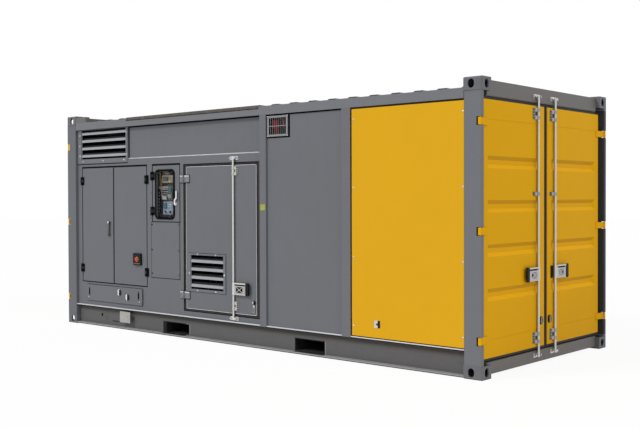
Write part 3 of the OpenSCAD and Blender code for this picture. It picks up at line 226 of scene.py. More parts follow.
t.links.new(maths(t, "ADD", peel, waves), go["Height"])
patches = maths(t, "MULTIPLY", maths(t, "SUBTRACT", middling, 0.5), 0.16)
uneven = maths(t, "ADD", patches, maths(t, "MULTIPLY", streak, 0.6))
t.links.new(maths(t, "ADD", gi["Roughness"], uneven, True), go["Roughness"])
print("group:", t.name, len(t.nodes), "nodes")

# %% [markdown]
# Folded sheet has no razor edges. A Bevel node rounds the shading near an edge without
# touching the CAD mesh, and where its normal leaves the true one there is an edge: that
# difference is the mask where corners are lightened, partly as worn paint and partly as a painted highlight.

# %% Group: rounded edges
edge_group, gi, go = new_group("rounded edges", [("Radius", "Float", 0.003)],
                               [("Normal", "Vector"), ("Mask", "Float")])
t = edge_group
soft = put(t, "Bevel", {"samples": 6}, Radius=gi["Radius"]).outputs[0]
agreement = vector_maths(t, "DOT_PRODUCT", soft, surface_normal(t))
t.links.new(ramp(t, agreement, 0.99, 0.75), go["Mask"])
t.links.new(soft, go["Normal"])
print("group:", t.name, len(t.nodes), "nodes")

# %% [markdown]
# Dust settles on what faces up and splashes collect on the lowest beams. The mask grows with
# the upward part of the normal and with nearness to the ground, and noise breaks it up.

# %% Group: settled dust
DUST = rgb(0.22, 0.205, 0.19)
dust_group, gi, go = new_group(
    "settled dust",
    [("Position", "Vector", ORIGIN), ("Colour", "Color", GREY), ("Dust", "Color", DUST),
     ("Amount", "Float", 0.2), ("Splash height", "Float", 0.3), ("Roughness", "Float", 0.4)],
    [("Colour", "Color"), ("Roughness", "Float")])
t = dust_group
up = parts_of(t, surface_normal(t))["Z"]
height = parts_of(t, gi["Position"])["Z"]
low = ramp(t, height, 0.0, gi["Splash height"], 1.0, 0.0)
fall = maths(t, "ADD", ramp(t, up, 0.3, 0.9), maths(t, "MULTIPLY", low, 0.8), True)
cloud = ramp(t, noise(t, gi["Position"], 11.0, 6.0, 0.65), 0.35, 0.7)
mask = maths(t, "MULTIPLY", maths(t, "MULTIPLY", fall, cloud), gi["Amount"], True)
t.links.new(blend_colours(t, mask, gi["Colour"], gi["Dust"]), go["Colour"])
dull = maths(t, "MULTIPLY", mask, 0.4)
t.links.new(maths(t, "ADD", gi["Roughness"], dull, True), go["Roughness"])
print("group:", t.name, len(t.nodes), "nodes")

# %% [markdown]
# One CAD node can hold parts of several finishes: a zinc lever with a rubber grip, a grey door
# with black hinge leaves, an instrument board. A zone is a box in Object coordinates with its
# own finish. Its mask comes from how far a point lies inside the box along each axis, so the
# finish stays on its part when the door swings.

# %% Group: zone
CRISP = 0.0006  # a zone's edge fades over this length
zone_group, gi, go = new_group(
    "zone", [("Position", "Vector", ORIGIN), ("Centre", "Vector", ORIGIN),
             ("Half size", "Vector", ORIGIN), ("Softness", "Float", CRISP)], [("Mask", "Float")])
t = zone_group
away = vector_maths(t, "ABSOLUTE", vector_maths(t, "SUBTRACT", gi["Position"], gi["Centre"]))
inside = parts_of(t, vector_maths(t, "SUBTRACT", gi["Half size"], away))
least = maths(t, "MINIMUM", maths(t, "MINIMUM", inside["X"], inside["Y"]), inside["Z"])
t.links.new(maths(t, "ADD", maths(t, "DIVIDE", least, gi["Softness"]), 0.5, True), go["Mask"])
print("group:", t.name, len(t.nodes), "nodes")

# %% A zone's finish, and how zones are laid over a base
def zone(low, high, colour, roughness=0.45, metallic=0.0, softness=CRISP, mirrored=False):
    """A finish for a box; a mirrored zone also counts on the other side and at the other end."""
    return dict(low=Vector(low), high=Vector(high), colour=colour, roughness=roughness,
                metallic=metallic, softness=softness, mirrored=mirrored)

def lay_zones(t, where, colour, roughness, metallic, zones):
    apart = parts_of(t, where)
    folded = put(t, "CombineXYZ", X=maths(t, "ABSOLUTE", apart["X"]),
                 Y=maths(t, "ABSOLUTE", apart["Y"]), Z=apart["Z"]).outputs[0]
    for z in zones:
        mask = use_group(t, zone_group, Position=folded if z["mirrored"] else where,
                         Centre=middle(z["low"], z["high"]), Half_size=(z["high"] - z["low"]) / 2,
                         Softness=z["softness"])["Mask"]
        colour = blend_colours(t, mask, colour, z["colour"])
        roughness = blend_values(t, mask, roughness, z["roughness"])
        if metallic or z["metallic"]:
            metallic = blend_values(t, mask, metallic, z["metallic"])
    return colour, roughness, metallic

# %% [markdown]
# Each recipe below starts a material in the same way and ends with the same bump: Object
# coordinates at one end, the shader's own sockets at the other.

# %% Start and end of a recipe
def start_finish(name):
    """A new material, its tree, its shader and the Object coordinates."""
    material = bpy.data.materials.new(name)
    material.use_nodes = True
    t = material.node_tree
    return material, t, t.nodes["Principled BSDF"], put(t, "TexCoord").outputs["Object"]

def end_finish(t, shader, colour, roughness, metallic, height, normal, strength, distance=1.0):
    relief = put(t, "Bump", Height=height, Normal=normal, Strength=strength, Distance=distance)
    for socket, value in (("Base Color", colour), ("Roughness", roughness),
                          ("Metallic", metallic), ("Normal", relief.outputs[0])):
        join(t, shader.inputs[socket], value)

# %% [markdown]
# Every painted node shares one recipe with its own numbers: zones, coat, dust, and edges
# lightened partly as wear and partly as a painted highlight. The paint is a plain dielectric,
# so the constant sockets are set on the shader itself. Its specular level is low, because this
# paint is satin and its haze hides most reflections. A tilt factor lightens what faces up and
# darkens what faces down: a painted highlight and painted shade on the pressed swages of the end doors.

# %% Recipe: sprayed paint
def sprayed_paint(name, colour, roughness=0.45, drift=0.05, streaks=0.04, dust=0.15, splash=0.3,
                  edge=0.25, radius=0.003, worn=None, bump=1.0, specular=0.18, painted_tilt_light=0.0, zones=()):
    mat, t, shader, where = start_finish(name)
    metallic = 0.0
    if zones:
        colour, roughness, metallic = lay_zones(t, where, colour, roughness, metallic, zones)
    coat = use_group(t, coat_group, Position=where, Colour=colour, Drift=drift, Streaks=streaks,
                     Roughness=roughness)
    dusty = use_group(t, dust_group, Position=where, Colour=coat["Colour"], Amount=dust,
                      Splash_height=splash, Roughness=coat["Roughness"])
    edges = use_group(t, edge_group, Radius=radius)
    # Edges are lightened, partly as worn paint and partly as a painted highlight.
    bare = worn or scaled(t, coat["Colour"], 1.7, 0.8)
    mask = maths(t, "MULTIPLY", edges["Mask"], edge, True)
    finish = blend_colours(t, mask, dusty["Colour"], bare)
    # Painted light: faces that tilt up are made lighter and faces that tilt down darker.
    if painted_tilt_light:
        tilt = parts_of(t, surface_normal(t))["Z"]
        finish = scaled(t, finish, ramp(t, tilt, -0.6, 0.6, 1.0 - painted_tilt_light, 1.0 + painted_tilt_light))
    end_finish(t, shader, finish, dusty["Roughness"], metallic, coat["Height"], edges["Normal"], 0.6, bump)
    shader.inputs["Specular IOR Level"].default_value = specular
    return mat

# %% [markdown]
# Bright zinc plate is a metal with a soft grey bloom. Small cells give each patch of crystals
# its own brightness, and slow noise changes the gloss.

# %% Recipe: zinc and chrome
def bright_metal(name, colour, roughness, cells=160.0, bloom=0.12, tint=None, zones=()):
    mat, t, shader, where = start_finish(name)
    patch = put(t, "TexVoronoi", Vector=where, Scale=cells).outputs["Color"]
    level = put(t, "SeparateColor", Color=patch).outputs[0]
    slow = noise(t, where, 14.0, 5.0, 0.6)
    frost = maths(t, "ADD", maths(t, "MULTIPLY", level, 0.4), slow)
    value = maths(t, "ADD", 1.0 - bloom, maths(t, "MULTIPLY", frost, bloom * 1.4))
    tinted = blend_colours(t, ramp(t, slow, 0.45, 0.75), colour, tint or colour)
    gloss = ramp(t, slow, 0.3, 0.8, roughness * 0.8, roughness * 1.5)
    tinted, gloss, metallic = lay_zones(t, where, tinted, gloss, 1.0, zones)
    edges = use_group(t, edge_group, Radius=0.0012)
    grain = maths(t, "MULTIPLY", noise(t, where, 600.0, 2.0), 0.00004)
    end_finish(t, shader, scaled(t, tinted, value), gloss, metallic, grain, edges["Normal"], 0.5)
    shader.inputs["Specular IOR Level"].default_value = 0.12
    return mat

# %% [markdown]
# Rubber and black plastic differ mostly in gloss and skin: rubber is dull with a chalky bloom,
# plastic has a fine moulded texture.

# %% Recipe: moulded plastic and rubber
def moulded(name, colour, roughness, texture=500.0, relief=0.0001, bloom=0.15, bloom_colour=None,
            specular=0.3, coat=0.0, zones=()):
    mat, t, shader, where = start_finish(name)
    metallic = 0.0
    if zones:
        colour, roughness, metallic = lay_zones(t, where, colour, roughness, metallic, zones)
    cloud = noise(t, where, 18.0, 6.0, 0.65)
    chalk = maths(t, "MULTIPLY", ramp(t, cloud, 0.45, 0.75), bloom)
    pale = bloom_colour or scaled(t, colour, 2.2, 0.8)
    edges = use_group(t, edge_group, Radius=0.0015)
    worn = maths(t, "MAXIMUM", chalk, maths(t, "MULTIPLY", edges["Mask"], bloom))
    gloss = maths(t, "MULTIPLY", ramp(t, cloud, 0.3, 0.8, 0.88, 1.15), roughness, True)
    skin = maths(t, "MULTIPLY", noise(t, where, texture, 2.0), relief)
    end_finish(t, shader, blend_colours(t, worn, colour, pale), gloss, metallic, skin,
               edges["Normal"], 0.6)
    shader.inputs["Specular IOR Level"].default_value = specular
    shader.inputs["Coat Weight"].default_value = coat
    return mat

# %% [markdown]
# The control window is clear safety glass in a thin frame: smooth transmission, a faint grey
# tint, and a trace of dust that makes it slightly rougher in patches.

# %% Recipe: safety glass
def safety_glass(name):
    mat, t, shader, where = start_finish(name)
    haze = noise(t, where, 9.0, 5.0, 0.6)
    tint = blend_colours(t, ramp(t, haze, 0.4, 0.8, 0.0, 0.2), rgb(0.93, 0.95, 0.95), rgb(0.8, 0.82, 0.82))
    t.links.new(ramp(t, haze, 0.4, 0.8, 0.0, 0.05), shader.inputs["Roughness"])
    t.links.new(tint, shader.inputs["Base Color"])
    shader.inputs["Transmission Weight"].default_value = 1.0
    shader.inputs["IOR"].default_value = 1.1
    return mat

print("recipes ready")

# %% [markdown]
# The zones are read off the frame. `span` gives the box of the vertices that pass a test, which
# finds a grip at the end of a lever or a latch on a door without repeating the CAD's numbers.

# %% Where the levers, paddles and latches lie
GRIP, SKIN = 0.046, 0.0006
PITCH_BLACK = rgb(0.006, 0.006, 0.007)
RUBBER_BLACK = rgb(0.014, 0.014, 0.015)
CHROME = rgb(0.78, 0.78, 0.79)
OVER = 0.001  # a zone reaches this far past what it covers

def span(node, test):
    return box_of([v.co for v in nodes[node].data.vertices if test(v.co)])

def grown(box, by=OVER):
    return box[0] - Vector((by, by, by)), box[1] + Vector((by, by, by))

def grip_of(node, axis, at_top):
    """The grip on a lever: the node's last stretch along an axis."""
    low, high = node_box(node)
    edge = high[axis] - GRIP if at_top else low[axis] + GRIP
    test = (lambda v: v[axis] > edge - SKIN) if at_top else (lambda v: v[axis] < edge + SKIN)
    grip = span(node, test)
    grip[0 if at_top else 1][axis] = edge
    return grip

def nearest_solid(node, height, beside=0.0):
    """The solid whose middle is nearest to a height and, by a share, to the centre line."""
    return min(solids(node), key=lambda b: abs(middle(*b).z - height) + abs(middle(*b).y) * beside)

def off_panel_latch(box):
    """How far a keeper is from the yellow panel's latch; one elsewhere counts as far off."""
    on_panel = box[0].x > 1.0 and box[0].y < -1.0
    return abs(middle(*box).z - 0.39) + (0 if on_panel else 5)

wall_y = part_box("side_door_louvre")[0][1] + 0.006
left_grip = grip_of("left_locking_bar", Y, False)
right_grip = grip_of("right_locking_bar", Y, True)
side_grip = grip_of("side_locking_bar", X, True)
left_paddle = nearest_solid("left_bar_guides", 0.405, 0.2)
right_paddle = nearest_solid("right_bar_guides", 0.405, 0.2)
buffer = nearest_solid("right_bar_guides", 0.85)
swing = max(solids("side_bar_guides"), key=lambda b: middle(*b).x)
panel_latch = min(keepers, key=off_panel_latch)
print("wall face", round(wall_y, 4), "buffer", buffer, "panel latch", panel_latch)

# %% [markdown]
# On the instrument board the same trick gives each unit its own colour: a sand-coloured
# controller on top, a light cable duct, dark breakers, a white socket, a green-grey meter and
# a blue-grey starter with black knobs. Places are measured from the board's lower left corner.

# %% Instruments and their colours
board = node_box("control_panel")
BOARD_BACK = 0.030
board_face = board[0].y + BOARD_BACK
KNOB = 30

def unit(x, z, wide, tall, deep):
    """Box of an instrument, from the board's corner, in millimetres."""
    left, foot = board[0].x - 0.003 + x * 0.001, board[0].z - 0.003 + z * 0.001
    return (Vector((left, board_face - deep * 0.001, foot)),
            Vector((left + wide * 0.001, board_face, foot + tall * 0.001)))

controller = unit(101, 450, 186, 84, 30)
duct = unit(31, 383, 250, 26, 22)
breakers = unit(31, 101, 62, 250, 28)
socket_box = unit(96, 256, 70, 46, 22)
meter = unit(205, 254, 72, 158, 26)
starter = unit(109, 85, 172, 148, 24)
knobs = [unit(x - KNOB / 2, 113 - KNOB / 2, KNOB, KNOB, 38) for x in (165, 243)]
units = [(controller, rgb(0.42, 0.36, 0.25), 0.5), (duct, rgb(0.30, 0.29, 0.26), 0.55),
         (breakers, rgb(0.02, 0.02, 0.022), 0.4), (socket_box, rgb(0.62, 0.61, 0.6), 0.4),
         (meter, rgb(0.10, 0.13, 0.11), 0.4), (starter, rgb(0.24, 0.29, 0.36), 0.35)]
board_zones = [zone(*grown(box), colour, rough) for box, colour, rough in units]
board_zones += [zone(low - Vector((0, 0.002, 0)), high - Vector((0, 0.0245, 0)), RUBBER_BLACK, 0.3)
                for low, high in knobs]
print("board zones:", len(board_zones))

# %% [markdown]
# Deep in a louvre the shade is painted: those parts get a near black zone. So do other
# openings and recesses, since an edge that faces a dark room never looks as light as the sheet
# outside. `shade` makes such a zone of painted shade, and `band` is one that runs all round the container
# between two heights.

# %% Zones of the walls, doors and posts
BIG = 9.0  # past the container on every side
GREY_PAINT = rgb(0.143, 0.150, 0.164)
HIGHLIGHT_GREY = rgb(0.62, 0.63, 0.66)
half_x, half_y = cad_box[1][0], cad_box[1][1]

def shade(low, high, **more):
    return zone(low, high, PITCH_BLACK, 0.8, **more)

def band(low_z, high_z, colour, roughness, **more):
    return zone((-BIG, -BIG, low_z), (BIG, BIG, high_z), colour, roughness, **more)

inlet = node_box("inlet_louvre")
door_louvre = node_box("side_door_louvre")
# Painted shade deep in the louvres.
louvre_depth_shade = shade((-BIG, wall_y + 0.009, 0), (BIG, 0, 3), softness=0.012)
# Painted highlight on the louvre blades' lips.
blade_lip_highlight = zone((-BIG, wall_y + 0.0012, 0), (BIG, wall_y + 0.010, 2.405), rgb(0.36, 0.37, 0.40), 0.4)
# Painted shade inside the side door's louvre opening.
door_opening_shade = shade((door_louvre[0].x + 0.020, wall_y + 0.003, door_louvre[0].z + 0.03),
                     (door_louvre[1].x - 0.020, 0, door_louvre[1].z - 0.005))
hinge_leaves = zone((-BIG, -BIG, 0), (BIG, wall_y - SKIN, 3), RUBBER_BLACK, 0.4)
grey_brackets = zone((-0.94, -BIG, 0), (-0.6, 0, 3), GREY_PAINT, 0.45)
# Painted shade on the inner returns of the end posts' hinge recesses.
post_return_shade = zone((2.93, 0, 0.14), (3.0205, half_y - 0.0085, 2.45), rgb(0.016, 0.017, 0.02), 0.6,
                    mirrored=True)
# Painted shade on the right end post's jamb only.
right_jamb_shade = zone((2.93, 1.1, 0.14), (half_x - 0.001, half_y - 0.004, 2.45), rgb(0.045, 0.046, 0.052), 0.6)
far_posts = zone((-3.1, -BIG, 0.1), (-2.8, BIG, 2.5), rgb(0.136, 0.142, 0.156), 0.45, softness=0.01)
# Painted highlight along the ledge of the lower wall.
ledge_highlight = zone((-1.841, -BIG, 2.031), (0.386, 0, 2.0415), HIGHLIGHT_GREY, 0.4, softness=0.002)
# Painted shade on the inner faces of the far end doors.
inside_end_shade = zone((-2.9345, -1.15, 0.2), (-1.0, 1.15, 2.45), rgb(0.02, 0.018, 0.014), 0.8)
# Painted shade inside the corner castings' holes.
casting_core_shade = shade((2.862, 1.068, 0.012), (3.0165, 1.2065, 2.579), mirrored=True)
print("inlet", inlet, "door louvre", door_louvre)

# %% [markdown]
# The cable cover has two round-ended slots, painted black inside as shade, and two chromed
# paddle latches whose pit and right half are painted black as shade under the paddle.

# %% Zones of the cable cover
SLOT_IN, SLOT_Z = 0.062, 0.405
slot_x = (cover[0].x + SLOT_IN, cover[1].x - SLOT_IN)
# Painted shade in the slots: the wall behind them and their walls are near black.
slot_bed_shade = [shade((x - 0.012, -BIG, 0.35), (x + 0.012, 0, 0.5)) for x in slot_x]
slot_wall_shade = [shade((x - 0.0106, wall_y - 0.0156, 0.357), (x + 0.0106, 0, 0.453)) for x in slot_x]
latch_front, latch_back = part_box("lower_covers")[0][1] - OVER, wall_y - 0.0162
latch_zones = []
for across, up in ((0.613, 0.66), (0.755, 0.42)):
    x = cover[0].x + (cover[1].x - cover[0].x) * across
    z = cover[0].z + (cover[1].z - cover[0].z) * up
    plate_top = (x + 0.032, latch_back, z + 0.038)
    latch_zones += [
        zone((x - 0.032, latch_front, z - 0.038), plate_top, CHROME, 0.22, 1.0),
        # The pit under each paddle and the right half of the latch are painted black as shade.
        zone((x - 0.026, latch_back - 0.0028, z - 0.032), (x + 0.026, latch_back, z + 0.032),
             PITCH_BLACK, 0.5),
        zone((x + 0.0005, latch_front, z - 0.038), plate_top, PITCH_BLACK, 0.5)]
print("slots at", [round(x, 3) for x in slot_x], "latch zones", len(latch_zones))

# %% [markdown]
# The bottom rail is a channel. From the top down it shows a painted highlight on its ledge, a
# painted shadow line under it, a brownish band of painted shade that fades out, and a lower flange
# lightened as a painted highlight over a painted shadow at its foot. A dark line is painted near
# the far end where a narrow slot shows, and the fork pockets are painted black inside as shade,
# with a lighter band at their right end.

# %% Zones of the bottom rail and the fork pockets
UNDER_LIP_SHADE = rgb(0.070, 0.064, 0.057)
POCKET_X, POCKET_HALF = (-0.973, 1.027), 0.199
rail_low, rail_high = node_box("bottom_side_rails")
top, foot = rail_high.z, rail_low.z
# Painted light on the rail: highlights on the ledge and lower flange, painted shadow and shade under the
# ledge, at the foot and in a slot.
rail_zones = [
    band(top - 0.070, top + OVER, UNDER_LIP_SHADE, 0.6, softness=0.045, mirrored=True),
    band(top - 0.027, top + OVER, rgb(0.010, 0.010, 0.010), 0.6, softness=0.002, mirrored=True),
    band(top - 0.010, top + OVER, HIGHLIGHT_GREY, 0.4, softness=0.002, mirrored=True),
    band(foot - OVER, foot + 0.020, rgb(0.30, 0.30, 0.31), 0.4, softness=0.003, mirrored=True),
    band(foot - OVER, foot + 0.007, PITCH_BLACK, 0.6, softness=0.002, mirrored=True),
    zone((-2.181, -BIG, 0.074), (-2.004, 0, 0.086), PITCH_BLACK, 0.6, softness=0.002)]
pocket_rims = [zone((x + 0.194, -BIG, 0.030), (x + 0.212, BIG, 0.156), rgb(0.24, 0.24, 0.245), 0.4,
                    softness=0.002) for x in POCKET_X]
# Painted shade inside the fork pockets.
pocket_shade = [shade((x - POCKET_HALF, rail_low.y + 0.0012, 0.02), (x + POCKET_HALF, 1.2, 0.16),
                     mirrored=True) for x in POCKET_X]
# Painted shade on the underside of the top rail.
rail_underside_shade = band(2.40, 2.4115, PITCH_BLACK, 0.7)
print("rails", rail_low, rail_high)

# %% [markdown]
# The last zones are thin lines: the painted shade between the yellow sheet and its frame, the
# dark edges of the roof hatch, and painted shade inside the vent grille behind its face.

# %% Zones of the yellow panel, the hatch and the grille
SHEET_SHADE = rgb(0.012, 0.009, 0.004)
SHEET_OUT = 1.19  # only the sheet itself stands further out than this
sheet_low, sheet_high = node_box("yellow_side_panels")
sheet_lines = [
    zone((sheet_low.x - 0.01, SHEET_OUT, 0), (sheet_low.x + 0.018, BIG, 3), SHEET_SHADE, 0.6, mirrored=True),
    zone((0, SHEET_OUT, sheet_high.z - 0.017), (BIG, BIG, 3), SHEET_SHADE, 0.6, mirrored=True),
    zone((0, SHEET_OUT, 0), (BIG, BIG, sheet_low.z + 0.008), SHEET_SHADE, 0.6, mirrored=True)]
hatch_low, hatch_high = node_box("roof_hatch")
hatch_lines = [zone((-BIG, -BIG, low), (BIG, hatch_low.y + 0.004, high), PITCH_BLACK, 0.6)
               for low, high in ((hatch_high.z - 0.008, hatch_high.z + OVER),
                                 (hatch_low.z - OVER, hatch_low.z + 0.008))]
grille = node_box("vent_grille")
# Painted shade inside the grille, behind its face.
grille_depth_shade = shade((-BIG, grille[0].y + 0.0009, 0), (BIG, 0, 3))
lamp_base = band(0, 2.262, PITCH_BLACK, 0.5)
print("sheet", sheet_low, sheet_high, "hatch", hatch_low, hatch_high)

# %% [markdown]
# A locking lever is a casting: a plate with a bright rail above and below, sunk cells between
# its ribs, and a black grip at the end. The sunk plate and its cells are painted darker than the
# rails, as painted shade. Both sunk boxes are measured from the grip: `out` is the axis that
# points out of the face, and the lever runs `along` its axis the `way` given.

# %% Zones of the levers, paddles and keepers
PLATE_SINK, CELL_SINK = 0.0035, 0.0065
PLATE_REACH, CELL_REACH, CELL_TALL = (0.0, 0.170), (0.046, 0.146), (-0.040, 0.022)

def sunk_box(grip, out, along, way, reach, heights, sink):
    """A box behind a lever's face, from the grip towards the bar."""
    near = (grip[0] if way < 0 else grip[1])[along]
    low, high = Vector(grip[0]), Vector(grip[1])
    low[along], high[along] = sorted(near + way * r for r in reach)
    low.z, high.z = heights
    if out == X:
        high.x = grip[1].x - sink
    else:
        low.y = grip[0].y + sink
    return low, high

levers = ((left_grip, X, Y, 1), (right_grip, X, Y, -1), (side_grip, Y, X, -1))
plate_shade_zones, cell_shade_zones = [], []
for lever in levers:
    grip, on_end = lever[0], lever[1] == X
    heights = (grip[0].z - OVER, grip[1].z + OVER)
    cell_heights = [middle(*grip).z + z for z in CELL_TALL]
    # Painted shade: the sunk plate and its cells are darker than the rails.
    plate_shade_zones.append(zone(*sunk_box(*lever, PLATE_REACH, heights, PLATE_SINK),
                            rgb(0.52, 0.51, 0.50) if on_end else rgb(0.42, 0.41, 0.40), 0.5))
    cell_shade_zones.append(zone(*sunk_box(*lever, CELL_REACH, cell_heights, CELL_SINK),
                           rgb(0.34, 0.335, 0.33) if on_end else PITCH_BLACK, 0.6))
paddle_zones = [zone(low - Vector((OVER, OVER, OVER)), (low.x + 0.0088, high.y + OVER, high.z + OVER),
                     RUBBER_BLACK, 0.4) for low, high in (left_paddle, right_paddle)]
buffer_zone = zone(*grown(buffer), PITCH_BLACK, 0.6)
swing_zone = zone((swing[0].x - OVER, wall_y - 0.0054, swing[0].z),
                  (swing[1].x + OVER, wall_y + OVER, swing[1].z + OVER), RUBBER_BLACK, 0.4)
grip_zones = [zone(*grown(lever[0]), PITCH_BLACK, 0.5) for lever in levers]
metal_zones = plate_shade_zones + cell_shade_zones + grip_zones + paddle_zones + [buffer_zone, swing_zone]
far_grip = zone((2.9, right_grip[0].y, right_grip[0].z), (3.1, right_grip[1].y, right_grip[1].z),
                RUBBER_BLACK, 0.45, mirrored=True)
low, high = panel_latch
mid = middle(low, high)
# The right half and the middle of the yellow panel's latch are painted black as shade of its hollow.
keeper_zones = [
    zone((mid.x + 0.006, -BIG, low.z - OVER), (high.x + OVER, -1, high.z + OVER), RUBBER_BLACK, 0.4),
    zone((mid.x - 0.016, -BIG, mid.z - 0.016), (mid.x + 0.006, high.y - 0.0022, mid.z + 0.016),
         RUBBER_BLACK, 0.4)]
print("zones on the locking bars:", len(metal_zones), "on the keepers:", len(keeper_zones))

# %% [markdown]
# The paints differ a little from node to node. The end doors get the strongest painted light by
# tilt: a painted highlight where their pressed swages face up and painted shade where they face down.

# %% Paints
# The yellow of lightened edges: worn paint and a painted highlight.
EDGE_YELLOW = rgb(0.85, 0.52, 0.05)
UNDER_GREY = rgb(0.112, 0.110, 0.112)
frame_grey = sprayed_paint("frame grey", rgb(0.148, 0.153, 0.168))
post_grey = sprayed_paint("post grey", rgb(0.155, 0.162, 0.178), zones=[post_return_shade, right_jamb_shade, far_posts])
rail_grey = sprayed_paint("top rail grey", rgb(0.170, 0.175, 0.190), zones=[rail_underside_shade])
end_grey = sprayed_paint("end rail grey", rgb(0.155, 0.148, 0.142), dust=0.2)
louvre_grey = sprayed_paint("louvre grey", rgb(0.160, 0.166, 0.182), edge=0.7, zones=[blade_lip_highlight, louvre_depth_shade])
cover_grey = sprayed_paint("cover grey", rgb(0.145, 0.151, 0.165), edge=0.4, zones=latch_zones + slot_wall_shade)
wall_grey = sprayed_paint("wall grey", GREY_PAINT, streaks=0.03, zones=[ledge_highlight])
infill_grey = sprayed_paint("infill grey", GREY_PAINT, streaks=0.03, zones=slot_bed_shade + [ledge_highlight])
door_grey = sprayed_paint("door grey", GREY_PAINT, streaks=0.03, zones=[hinge_leaves])
side_door_grey = sprayed_paint("side door grey", rgb(0.146, 0.153, 0.168), streaks=0.03, zones=[door_opening_shade])
under_grey = sprayed_paint("underframe grey", UNDER_GREY, 0.5, dust=0.2, splash=0.35, edge=0.3,
                           zones=pocket_shade)
rail_dark = sprayed_paint("bottom rail grey", UNDER_GREY, 0.5, dust=0.1, splash=0.35, edge=0.1,
                          zones=rail_zones + pocket_rims + pocket_shade)
roof_grey = sprayed_paint("roof grey", rgb(0.165, 0.170, 0.183), 0.5, dust=0.4, drift=0.08)
cast_grey = sprayed_paint("casting grey", rgb(0.140, 0.143, 0.155), 0.48, drift=0.1, edge=0.4,
                          radius=0.006, bump=2.0, zones=[casting_core_shade])
grille_grey = sprayed_paint("grille grey", rgb(0.25, 0.255, 0.265), 0.4, edge=0.5, dust=0.1,
                            zones=[grille_depth_shade])
# A light grey for painted highlights on edges.
highlight_paint = sprayed_paint("highlight paint", HIGHLIGHT_GREY, 0.4, edge=0.1)
strap_paint = sprayed_paint("strap paint", rgb(0.215, 0.222, 0.24), 0.42, edge=0.6,
                            worn=rgb(0.55, 0.55, 0.56))
canopy_yellow = sprayed_paint("canopy yellow", rgb(0.700, 0.375, 0.012), 0.38, drift=0.025,
                              streaks=0.012, dust=0.04, edge=0.3, worn=EDGE_YELLOW, specular=0.06,
                              zones=sheet_lines)
end_yellow = sprayed_paint("end door yellow", rgb(0.735, 0.380, 0.004), 0.38, drift=0.025,
                           streaks=0.012, dust=0.0, splash=0.0, edge=0.3, worn=EDGE_YELLOW,
                           specular=0.03, painted_tilt_light=0.27, zones=[inside_end_shade])
print("paints ready")

# %% [markdown]
# The locking gear is zinc plated. The small guides have weathered darker than the bars, and
# the bolts in them darker still. All rubber on the doors and the black lines of painted shade are dull and
# nearly black.

# %% Metals, rubber and plastic
ZINC, WARM_ZINC = rgb(0.66, 0.65, 0.64), rgb(0.60, 0.58, 0.52)
NEAR_BLACK = rgb(0.003, 0.003, 0.0035)
zinc = bright_metal("zinc plate", ZINC, 0.34, tint=WARM_ZINC, zones=metal_zones)
end_zinc = bright_metal("end bar zinc", rgb(0.54, 0.53, 0.51), 0.34, tint=rgb(0.50, 0.48, 0.42),
                        zones=metal_zones)
guide_zinc = bright_metal("guide zinc", rgb(0.33, 0.325, 0.315), 0.36, tint=rgb(0.28, 0.27, 0.25),
                          bloom=0.2, zones=paddle_zones + [buffer_zone])
far_zinc = bright_metal("far zinc plate", ZINC, 0.34, tint=WARM_ZINC, zones=[far_grip])
keeper_zinc = bright_metal("keeper zinc", ZINC, 0.3, tint=WARM_ZINC, zones=keeper_zones)
chrome = bright_metal("chrome", CHROME, 0.14, cells=40.0, bloom=0.04)
steel = bright_metal("bolt steel", rgb(0.56, 0.56, 0.57), 0.32, bloom=0.1)
rivet_metal = bright_metal("rivet metal", rgb(0.20, 0.13, 0.09), 0.4, bloom=0.1)
dark_steel = bright_metal("dark bolt steel", rgb(0.16, 0.155, 0.15), 0.4, bloom=0.1)
# Black for the window's rubber gasket and for the lines of painted shade and painted shadow.
trim_and_shade_black = moulded("edge trim and painted shade", NEAR_BLACK, 0.6, bloom=0.0, specular=0.04)
black_metal = moulded("black powder coat", NEAR_BLACK, 0.5, texture=700.0, bloom=0.0, specular=0.05,
                      zones=[grey_brackets])
black_plastic = moulded("black plastic", rgb(0.005, 0.005, 0.0055), 0.45, bloom=0.05, specular=0.15)
rubber = moulded("black rubber", RUBBER_BLACK, 0.62)
dark_rubber = moulded("door gasket", rgb(0.022, 0.018, 0.015), 0.6, bloom=0.35,
                      bloom_colour=rgb(0.065, 0.056, 0.048))
olive_lever = moulded("olive lever", rgb(0.06, 0.055, 0.04), 0.4, bloom=0.5,
                      bloom_colour=rgb(0.22, 0.21, 0.16))
hatch_brown = moulded("hatch edge", rgb(0.075, 0.066, 0.056), 0.6, bloom=0.5,
                      bloom_colour=rgb(0.20, 0.18, 0.16), zones=hatch_lines)
box_grey = moulded("control box lining", rgb(0.030, 0.028, 0.027), 0.55)
board_finish = moulded("instrument board", rgb(0.060, 0.050, 0.042), 0.5, bloom=0.15, zones=board_zones)
stop_red = moulded("stop red", rgb(0.70, 0.025, 0.020), 0.3, relief=0.00003, bloom=0.06)
red_lens = moulded("beacon red", rgb(0.75, 0.008, 0.012), 0.22, relief=0.00002, bloom=0.05, coat=0.4,
                   zones=[lamp_base])
# The beacon is not lit, yet its lens and reflector glow a little red: painted light.
lens_shader = red_lens.node_tree.nodes["Principled BSDF"].inputs
lens_shader["Emission Color"].default_value = rgb(0.8, 0.01, 0.02)
lens_shader["Emission Strength"].default_value = 0.35
glass = safety_glass("window glass")
print("metals, rubber and plastic ready")

